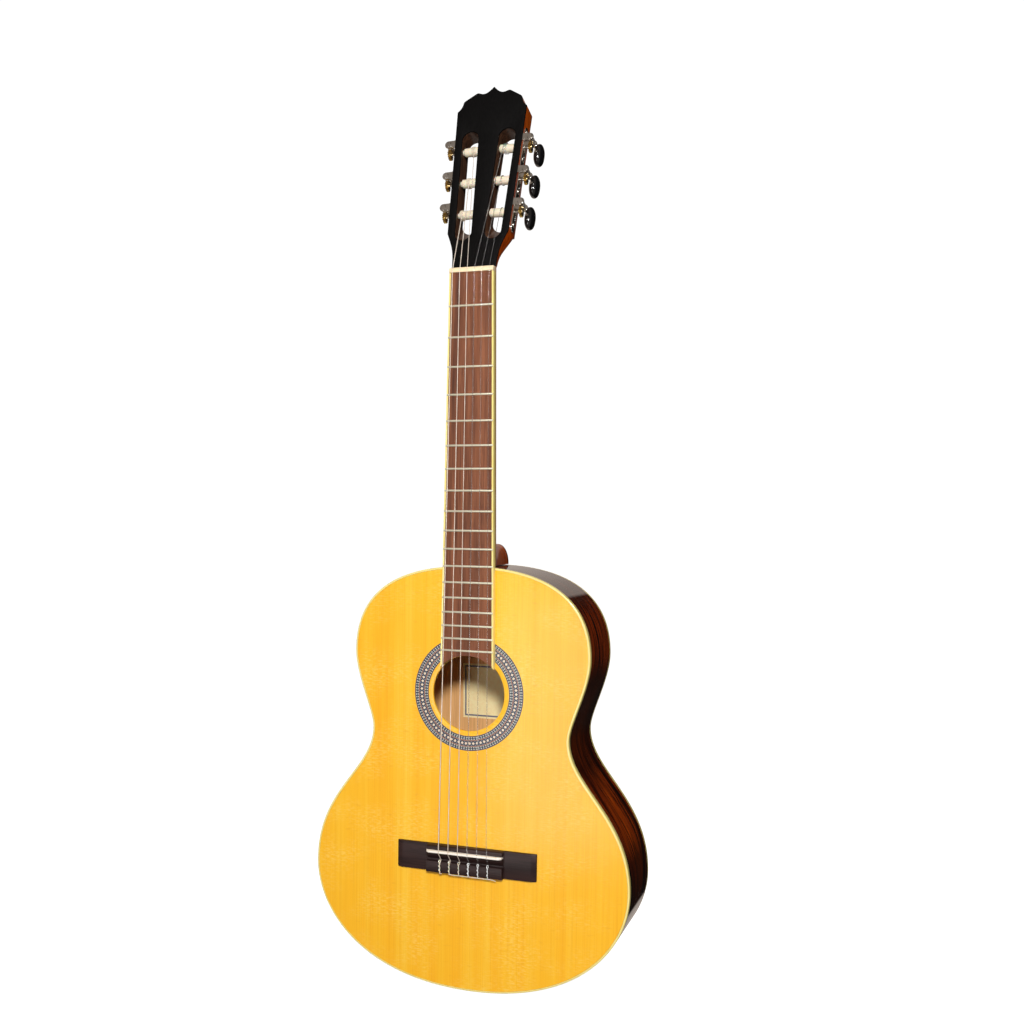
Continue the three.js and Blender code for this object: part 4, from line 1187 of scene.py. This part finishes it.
def bridge():
    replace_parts(add_mesh("bridge_wings", bridge_wings(), "bridge_wood"), "bridge")
    add_mesh("bridge_centre", bridge_centre(), "bridge_wood")
    for n in range(1, 7):
        x = string_x(n, SADDLE_SPAN)
        # Near-black discs where each string enters and leaves the tie block: painted shade standing in for
        # the holes, which are not cut.
        for z, turn in ((TIE_Z + 0.02, 1), (BRIDGE_BOTTOM + 0.02, -1)):
            ring = placed(turned([(1.25, -0.02), (1.25, 0.06), (0.95, 0.1), (0.9, 0.02)], 20),
                          Matrix.Translation((x, -TIE_HOLE, z)) @ Matrix.Rotation(turn * math.pi / 2, 4, "X"))
            add_mesh(f"hole_shade_{n}_{'front' if turn > 0 else 'rear'}", ring, "head_black")


# ---------------------------------------------------------------- strings


def roller_of(n):
    """The side, the place along the head and the rank of the roller that takes string n."""
    sign = 1 if n <= 3 else -1
    rank = n - 1 if n <= 3 else 6 - n
    return sign, (rank - 1) * TUNER_PITCH, rank


def side_frame(sign):
    """The tuners' frame on one side of the head: x out of the head on the treble side."""
    lean = math.atan2(HEAD_SHOULDER[0] - HEAD_CORNER[0], HEAD_SHOULDER[1] - HEAD_CORNER[1])
    out = HEAD_CORNER[0] + (TUNER_CENTRE - HEAD_CORNER[1]) * math.tan(lean)
    return HEAD @ Matrix.Translation((sign * out, 0, TUNER_CENTRE)) @ Matrix.Rotation(sign * lean, 4, "Y")


def string(n):
    radius = STRING_RADIUS[n - 1]
    sign, place, rank = roller_of(n)
    frame = side_frame(sign)
    over_roller = ROLLER_DEPTH - ROLLER_RADIUS - radius
    start = frame @ Vector((sign * WOUND_AT[rank], over_roller, place + 0.5))
    x0, x1 = string_x(n, NUT_SPAN), string_x(n, SADDLE_SPAN)
    nut_y = -NUT_TOP - radius * 0.55
    saddle_y = -SADDLE_TOP - radius
    behind_nut = start.lerp(Vector((x0, nut_y + 0.9, 4.6)), 0.97)
    on_nut = Vector((x0, nut_y, 0.7))
    path = [start, start.lerp(behind_nut, 0.5), behind_nut, Vector((x0, nut_y + 0.25, 2.4)), on_nut]
    path += [on_nut.lerp(Vector((x1, saddle_y, SADDLE_Z + 0.5)), t)
             for t in (0.002, 0.25, 0.5, 0.75, 0.998)]
    path += [Vector((x1, saddle_y, SADDLE_Z + 0.2)), Vector((x1, saddle_y + 0.12, SADDLE_Z - 0.6)),
             Vector((x1, saddle_y + 0.7, SADDLE_Z - 1.7)), Vector((x1, -TIE_HOLE - 0.6, TIE_Z + 1.4)),
             Vector((x1, -TIE_HOLE, TIE_Z + 0.2)), Vector((x1, -TIE_HOLE, TIE_Z - 3))]
    finish = "nylon" if n <= 3 else "wound_string"
    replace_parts(add_mesh(f"string_{n}_run", tube(path, radius), finish, crease=60), f"string_{n}")


def tie(n):
    """The string's end at the bridge: up round the block, a hitch at its front edge, and two twists back."""
    radius = STRING_RADIUS[n - 1]
    x = string_x(n, SADDLE_SPAN)
    top = -TIE_HIGH - radius
    front, rear = TIE_Z + 0.6, BRIDGE_BOTTOM - radius
    loop = [
        (x, -TIE_HOLE, BRIDGE_BOTTOM + 2), (x, -TIE_HOLE, rear + 0.1),
        (x + 0.1, -TIE_HOLE - 1.5, rear - 0.25), (x + 0.2, top + 0.8, rear - 0.1),
        (x + 0.25, top - 0.1, rear + 0.9), (x + 0.2, top, TIE_Z - 5),
        (x - 0.4, top, TIE_Z - 1.2), (x - 1.0, top + 0.4, front), (x - 0.5, top + 1.1, front + 1.1),
        (x + 0.6, top + 0.9, front + 1.2), (x + 1.1, top + 0.1, front - 0.1),
        (x + 0.5, top - 0.8, TIE_Z - 1.4),
    ]
    length = TIE_Z - 1.4 - (rear + 1.6)
    for k in range(1, 15):
        angle = 2 * math.pi * 2.25 * k / 14
        loop.append((
            x + 0.2 + 1.5 * radius * math.sin(angle + 0.8),
            top - 0.2 - 1.3 * radius * (1 + math.cos(angle + 0.8)) / 2,
            TIE_Z - 1.4 - length * k / 14,
        ))
    loop += [(x + 0.3, top + 0.1, rear + 0.3), (x + 0.9, top + 1.4, rear - 0.35),
             (x + 1.9, top + 2.1, rear - 0.3)]
    finish = "roller_ivory" if n > 3 else "nylon_white"
    add_mesh(f"string_{n}_tie", tube(smooth_path(loop, 5), radius * 0.95, 8), finish, crease=60)


def long_tail():
    """The fifth string's end, laid along the rear edge of the block under the other ties."""
    x0 = string_x(5, SADDLE_SPAN)
    top, rear = -TIE_HIGH + 0.2, BRIDGE_BOTTOM - 0.7
    points = [
        (x0 - 0.3, top - 0.7, rear + 0.6), (x0 + 2.5, top + 0.2, rear - 0.1),
        (x0 + 11.6, top + 0.6, rear - 0.2), (x0 + 23.2, top + 0.3, rear - 0.1),
        (x0 + 34.8, top + 0.4, rear - 0.15), (x0 + 46.4, top + 0.5, rear - 0.2),
        (x0 + 52, top + 1.0, rear - 0.6), (x0 + 55.5, top + 2.6, rear - 2.2),
    ]
    add_mesh("string_5_tail", tube(smooth_path(points), STRING_RADIUS[4], 8), "roller_ivory", crease=60)


def winding(n):
    """The turns of string on its roller, and the end that sticks up past them."""
    radius = STRING_RADIUS[n - 1]
    sign, place, rank = roller_of(n)
    turns = (1.75, 1.75, 3.75, 4.75, 3.75, 2.75)[n - 1]
    reach = ROLLER_RADIUS + radius
    step = 2.15 * radius
    start = WOUND_AT[rank]
    points = []
    count = int(turns * 20)
    for k in range(count + 1):
        angle = 2 * math.pi * k / 20
        outwards = start + step * angle / (2 * math.pi)
        points.append((sign * outwards, ROLLER_DEPTH - reach * math.cos(angle),
                       place + reach * math.sin(angle)))
    x, y, z = points[-1]
    lift = 1 if n % 2 else -1
    points += [
        (x + sign * 0.6, y - 1.5 * lift, z + 1.6), (x + sign * 1.6, y - 3.4 * lift, z + 3.4),
        (x + sign * 2.2, y - 4.5 * lift, z + 6.0),
    ]
    finish = "wound_ivory" if n > 3 else "nylon"
    shape = placed(tube(smooth_path(points, 2), radius, 8), side_frame(sign))
    add_mesh(f"string_{n}_winding", shape, finish, body=f"roller_{n}", crease=60)


# ---------------------------------------------------------------- tuners


def slot_walls(place):
    """The slot's outer and inner walls at a roller, as distances from the side of the head."""
    share = (TUNER_CENTRE + place - SLOT_LOW[1]) / (SLOT_HIGH[1] - SLOT_LOW[1])
    middle = SLOT_LOW[0] + (SLOT_HIGH[0] - SLOT_LOW[0]) * share
    slope = (HEAD_SHOULDER[0] - HEAD_CORNER[0]) / (HEAD_SHOULDER[1] - HEAD_CORNER[1])
    edge = HEAD_CORNER[0] + (TUNER_CENTRE + place - HEAD_CORNER[1]) * slope
    return middle + SLOT_HALF - edge, middle - SLOT_HALF - edge


def on_roller(sign, place):
    """Turns a piece made about the y axis so that it points out of the head at a roller."""
    turn = Matrix.Rotation(-sign * math.pi / 2, 4, "Z")
    return side_frame(sign) @ Matrix.Translation((0, ROLLER_DEPTH, place)) @ turn


def roller(n):
    sign, place, _ = roller_of(n)
    outer, inner = slot_walls(place)
    first, last = inner + 0.7, outer - 1.3
    barrel = [
        (0, inner - 3.9), (2.9, inner - 3.9), (2.9, first), (3.9, first + 0.02),
        (4.6, first + 0.35), (4.92, first + 0.9), (ROLLER_RADIUS, first + 1.6),
        (ROLLER_RADIUS, last - 2), (4.93, last - 1.1), (4.6, last - 0.45), (3.9, last - 0.05),
        (3.3, last), (3.1, last + 0.2), (3.1, 0), (0, 0),
    ]
    piece = add_mesh(f"roller_barrel_{n}", turned(barrel, 40), "roller_ivory", body=f"roller_{n}",
                     frame=on_roller(sign, place), crease=40)
    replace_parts(piece, f"string_roller_{n}")
    face = GEAR_FROM + GEAR_THICK
    screw = [(0, -0.5), (1.5, -0.5), (1.5, face), (2.5, face + 0.02), (2.5, face + 0.5),
             (2.1, face + 0.95), (0, face + 1)]
    add_mesh(f"gear_screw_{n}", turned(screw, 24), "nickel", body=f"roller_{n}", frame=on_roller(sign, place))


def worm(n):
    sign, place, _ = roller_of(n)
    middle = ROLLER_DEPTH
    front = EAR_FRONT + EAR_THICK + 0.3 - middle
    back = EAR_BACK - 0.3 - middle
    behind = EAR_BACK + EAR_THICK + 0.3 - middle
    collar = BUTTON_DEPTH - BUTTON_LONG / 2 - 0.3 - middle
    profile = [
        (0, EAR_FRONT - 0.6 - middle), (WORM_JOURNAL, EAR_FRONT - 0.5 - middle), (WORM_JOURNAL, front),
        (WORM_CORE, front + 0.1), (WORM_CORE, back - 0.1), (WORM_JOURNAL, back), (WORM_JOURNAL, behind),
        (2.0, behind + 0.1), (2.0, behind + 1.2), (1.7, behind + 1.6), (1.7, collar - 3), (2.0, collar - 2.4),
        (2.4, collar - 1.8), (2.4, collar), (WORM_JOURNAL, collar + 0.1),
        (WORM_JOURNAL, collar + 6), (0, collar + 6),
    ]
    section = [(WORM_CORE - 0.3, -0.72), (WORM_TIP - 0.1, -0.30), (WORM_TIP, -0.15), (WORM_TIP, 0.15),
               (WORM_TIP - 0.1, 0.30), (WORM_CORE - 0.3, 0.72)]
    steps = 24
    rings = []
    for i in range(round(WORM_TURNS * steps) + 1):
        turns = i / steps - WORM_TURNS / 2
        angle = 2 * math.pi * turns + math.pi / 2
        rings.append([
            (r * math.cos(angle), h + turns * GEAR_PITCH, -r * math.sin(angle)) for r, h in section
        ])
    frame = side_frame(sign) @ Matrix.Translation((sign * WORM_OUT, ROLLER_DEPTH, place + WORM_OFFSET))
    shape = together(turned(profile, 28), skin(rings))
    piece = add_mesh(f"worm_{n}", shape, "nickel", body=f"tuner_{n}", frame=frame)
    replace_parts(piece, f"worm_shaft_{n}")


def button(n):
    """A flattened oval knob, fuller at its middle, with softly squared sides."""
    sign, place, _ = roller_of(n)
    rows, columns = 26, 48
    rings = []
    for i in range(rows + 1):
        up = -math.pi / 2 + math.pi * i / rows
        along = math.copysign(abs(math.sin(up)) ** 0.85, math.sin(up))
        girth = math.cos(up) ** 0.85 if 0 < i < rows else 0.0
        ring = []
        for k in range(columns):
            turn = 2 * math.pi * k / columns
            x = math.copysign(abs(math.cos(turn)) ** 0.85, math.cos(turn))
            z = math.copysign(abs(math.sin(turn)) ** 0.85, math.sin(turn))
            ring.append((x * girth * BUTTON_THICK / 2, along * BUTTON_LONG / 2, z * girth * BUTTON_WIDE / 2))
        rings.append(ring)
    frame = side_frame(sign) @ Matrix.Translation((sign * WORM_OUT, BUTTON_DEPTH, place + WORM_OFFSET))
    piece = add_mesh(f"button_{n}", skin(rings), "button_black", body=f"tuner_{n}", frame=frame, crease=80)
    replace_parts(piece, f"tuner_button_{n}")


def screw_head(radius, high):
    """A plain domed head, standing on y = 0 and pointing along -y."""
    dome = [(0, 0), (radius, 0), (radius, -0.35 * high), (0.85 * radius, -0.75 * high),
            (0.5 * radius, -0.97 * high), (0, -high)]
    return turned(dome, 28)


def ear(y0, y1, z):
    """A D-shaped lug round the worm's axis, with its rims rounded."""
    outline = [(0.3, z - EAR_RADIUS), *[
        (WORM_OUT + EAR_RADIUS * math.cos(a), z + EAR_RADIUS * math.sin(a))
        for a in (-math.pi / 2 + math.pi * k / 20 for k in range(21))
    ], (0.3, z + EAR_RADIUS)]
    rings = []
    for y, inset in edge_profile(y0, y1, 0.7, 0.5):
        rings.append([(x, y, zz) for x, zz in moved_in(outline, inset)])
    return skin(rings)


def tuner_plate(sign, side_name):
    """The strip on the side of the head, its lugs, and the screws that hold it."""
    low, high = PLATE_ENDS
    outline = []
    for centre, start in ((high - 5, 0.0), (low + 5, math.pi)):
        for k in range(17):
            angle = start + math.pi * k / 16
            outline.append((ROLLER_DEPTH + 5 * math.cos(angle), centre + 5 * math.sin(angle)))
    rings = []
    for x, inset in ((0.25, 0), (1.2, 0), (1.45, 0.12), (1.5, 0.4)):
        rings.append([(x, y, z) for y, z in moved_in(outline, inset)])
    shapes = [skin(rings)]
    for place in (-TUNER_PITCH, 0, TUNER_PITCH):
        z = place + WORM_OFFSET
        shapes.append(skin([
            [(x, y, zz) for y, zz in moved_in([
                (EAR_FRONT, z - EAR_RADIUS), (EAR_BACK + EAR_THICK, z - EAR_RADIUS),
                (EAR_BACK + EAR_THICK, z + EAR_RADIUS), (EAR_FRONT, z + EAR_RADIUS)], inset)]
            for x, inset in ((0.25, 0), (1.15, 0), (1.45, 0.3))
        ]))
        shapes.append(ear(EAR_FRONT, EAR_FRONT + EAR_THICK, z))
        shapes.append(ear(EAR_BACK, EAR_BACK + EAR_THICK, z))
        cap = placed(screw_head(3.3, 1.5), Matrix.Translation((WORM_OUT, EAR_FRONT + 0.05, z)))
        shapes.append(cap)
        collar = placed(turned([(1.6, -0.2), (3.0, -0.2), (3.0, 0.3), (1.6, 0.4)], 28),
                        Matrix.Translation((WORM_OUT, EAR_BACK + EAR_THICK, z)))
        shapes.append(collar)
    whole = together(*shapes)
    mirror = Matrix.Diagonal((sign, 1, 1, 1))
    piece = add_mesh(f"tuner_strip_{side_name}", placed(whole, mirror), "nickel",
                     frame=side_frame(sign), crease=30)
    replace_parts(piece, f"tuner_plate_{side_name}")
    for k, z in enumerate(PLATE_SCREWS):
        turn = Matrix.Rotation(sign * math.pi / 2, 4, "Z")
        screw = placed(screw_head(2.6, 1.5), Matrix.Translation((sign * 1.45, ROLLER_DEPTH, z)) @ turn)
        add_mesh(f"plate_screw_{side_name}_{k + 1}", screw, "nickel", frame=side_frame(sign))


# ---------------------------------------------------------------- camera, light and floor


def camera():
    data = bpy.data.cameras.new("view")
    made = bpy.data.objects.new("view", data)
    bpy.context.scene.collection.objects.link(made)
    ahead = Vector((-math.sin(CAMERA_YAW) * math.cos(CAMERA_PITCH),
                    math.cos(CAMERA_YAW) * math.cos(CAMERA_PITCH), -math.sin(CAMERA_PITCH)))
    right = Vector((math.cos(CAMERA_YAW), math.sin(CAMERA_YAW), 0))
    up = right.cross(ahead)
    rolled_right = right * math.cos(CAMERA_ROLL) + up * math.sin(CAMERA_ROLL)
    rolled_up = up * math.cos(CAMERA_ROLL) - right * math.sin(CAMERA_ROLL)
    turn = Matrix((rolled_right, rolled_up, -ahead)).transposed()
    made.matrix_world = Matrix.Translation(Vector(CAMERA_PLACE) * MM) @ turn.to_4x4()
    data.lens = CAMERA_LENS
    data.sensor_width = 36
    data.shift_y = CAMERA_SHIFT
    data.clip_start = 0.05
    data.clip_end = 60
    bpy.context.scene.camera = made


def lamp(name, place, target, size, power, tint=(1, 1, 1)):
    """A soft rectangular lamp that the camera doesn't see."""
    data = bpy.data.lights.new(name, "AREA")
    data.shape = "RECTANGLE"
    data.size, data.size_y = size
    data.energy = power
    data.color = tint
    made = bpy.data.objects.new(name, data)
    bpy.context.scene.collection.objects.link(made)
    made.location = place
    made.rotation_euler = (Vector(target) - Vector(place)).to_track_quat("-Z", "Y").to_euler()
    made.visible_camera = False


def lights():
    hole = Vector((0, 0, HOLE_Z * MM))
    across, above = math.radians(KEY_ACROSS), math.radians(KEY_ABOVE)
    out = Vector((math.cos(above) * math.sin(across), -math.cos(above) * math.cos(across), math.sin(above)))
    lamp("key", hole + out * 2.6, hole, (0.32, 0.32), 65)
    lamp("fill", (-0.34, -1.62, -0.78), (0.1, 0, -0.45), (0.35, 0.7), 4)


def surroundings():
    """White to the eye. The guitar itself sees a dim room with a white wall behind it on the left."""
    world = bpy.data.worlds.new("studio")
    bpy.context.scene.world = world
    world.use_nodes = True
    tree = world.node_tree

    def maths(operation, first, second=0.0):
        made = tree.nodes.new("ShaderNodeMath")
        made.operation = operation
        for socket, value in zip(made.inputs, (first, second)):
            if isinstance(value, bpy.types.NodeSocket):
                tree.links.new(value, socket)
            else:
                socket.default_value = value
        return made.outputs[0]

    def step(value, low, high):
        made = tree.nodes.new("ShaderNodeMapRange")
        tree.links.new(value, made.inputs["Value"])
        made.inputs["From Min"].default_value = low
        made.inputs["From Max"].default_value = high
        return made.outputs[0]

    towards = tree.nodes.new("ShaderNodeSeparateXYZ")
    tree.links.new(tree.nodes.new("ShaderNodeTexCoord").outputs["Generated"], towards.inputs[0])
    x, y = towards.outputs[0], towards.outputs[1]
    left = step(maths("SUBTRACT", x, maths("MULTIPLY", y, 0.03)), 0.015, -0.015)
    wall = maths("MULTIPLY", maths("MULTIPLY", left, step(y, 0.2, 0.4)), WALL_BEHIND)
    room = maths("MULTIPLY", step(y, 0.15, -0.3), ROOM_IN_FRONT)
    light = tree.nodes["Background"]
    tree.links.new(maths("ADD", maths("ADD", wall, room), 0.008), light.inputs["Strength"])
    light.inputs["Color"].default_value = (1.0, 0.86, 0.76, 1)
    seen = tree.nodes.new("ShaderNodeBackground")
    seen.inputs["Color"].default_value = (1, 1, 1, 1)
    seen.inputs["Strength"].default_value = 1.05
    chooser = tree.nodes.new("ShaderNodeMixShader")
    path = tree.nodes.new("ShaderNodeLightPath")
    tree.links.new(path.outputs["Is Camera Ray"], chooser.inputs[0])
    tree.links.new(light.outputs[0], chooser.inputs[1])
    tree.links.new(seen.outputs[0], chooser.inputs[2])
    tree.links.new(chooser.outputs[0], tree.nodes["World Output"].inputs[0])
    bpy.context.scene.view_settings.view_transform = "Standard"


FLOOR_Z = -1.05                       # metres; the guitar hangs above it


def floor():
    """A wide round floor, pale enough to run into the white behind it."""
    edit = bmesh.new()
    bmesh.ops.create_circle(edit, cap_ends=True, radius=25, segments=96)
    mesh = bpy.data.meshes.new("floor")
    edit.to_mesh(mesh)
    edit.free()
    made = bpy.data.objects.new("floor", mesh)
    bpy.context.scene.collection.objects.link(made)
    made.location.z = FLOOR_Z
    paint = Paint("pale_floor", 0.9, specular=0.0)
    cloud = paint.noise((3, 3, 3), detail=3)
    paint.set("Base Color", paint.ramp(cloud, (0.3, (0.86, 0.86, 0.86)), (0.7, (0.90, 0.90, 0.90))))
    paint.set("Emission Color", (1, 1, 1, 1))
    paint.set("Emission Strength", 0.94)
    mesh.materials.append(paint.material)
    made.visible_diffuse = False
    made.visible_glossy = False


# ---------------------------------------------------------------- the whole guitar

KEPT_NODES = {
    "top_lining": "lining_wood",
    "back_lining": "lining_wood",
    "neck_block": "mahogany",
    "tail_block": "mahogany",
    "harmonic_bar_upper": "brace_spruce",
    "harmonic_bar_lower": "brace_spruce",
    "fan_bracing": "brace_spruce",
    "back_brace_1": "lining_wood",
    "back_brace_2": "lining_wood",
    "back_brace_3": "lining_wood",
    **{f"worm_gear_{n}": "brass" for n in range(1, 7)},
}


def paint_kept_nodes(nodes):
    for name, finish in KEPT_NODES.items():
        nodes[name].data.materials.clear()
        nodes[name].data.materials.append(finish_of(finish))


def main():
    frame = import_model()
    camera()
    lights()
    surroundings()
    floor()
    paint_kept_nodes(frame["nodes"])
    body()
    neck_shaft()
    neck_heel()
    head()
    fingerboard()
    frets()
    nut()
    saddle()
    bridge()
    for n in range(1, 7):
        string(n)
        tie(n)
        winding(n)
        roller(n)
        worm(n)
        button(n)
    long_tail()
    tuner_plate(1, "treble")
    tuner_plate(-1, "bass")


main()
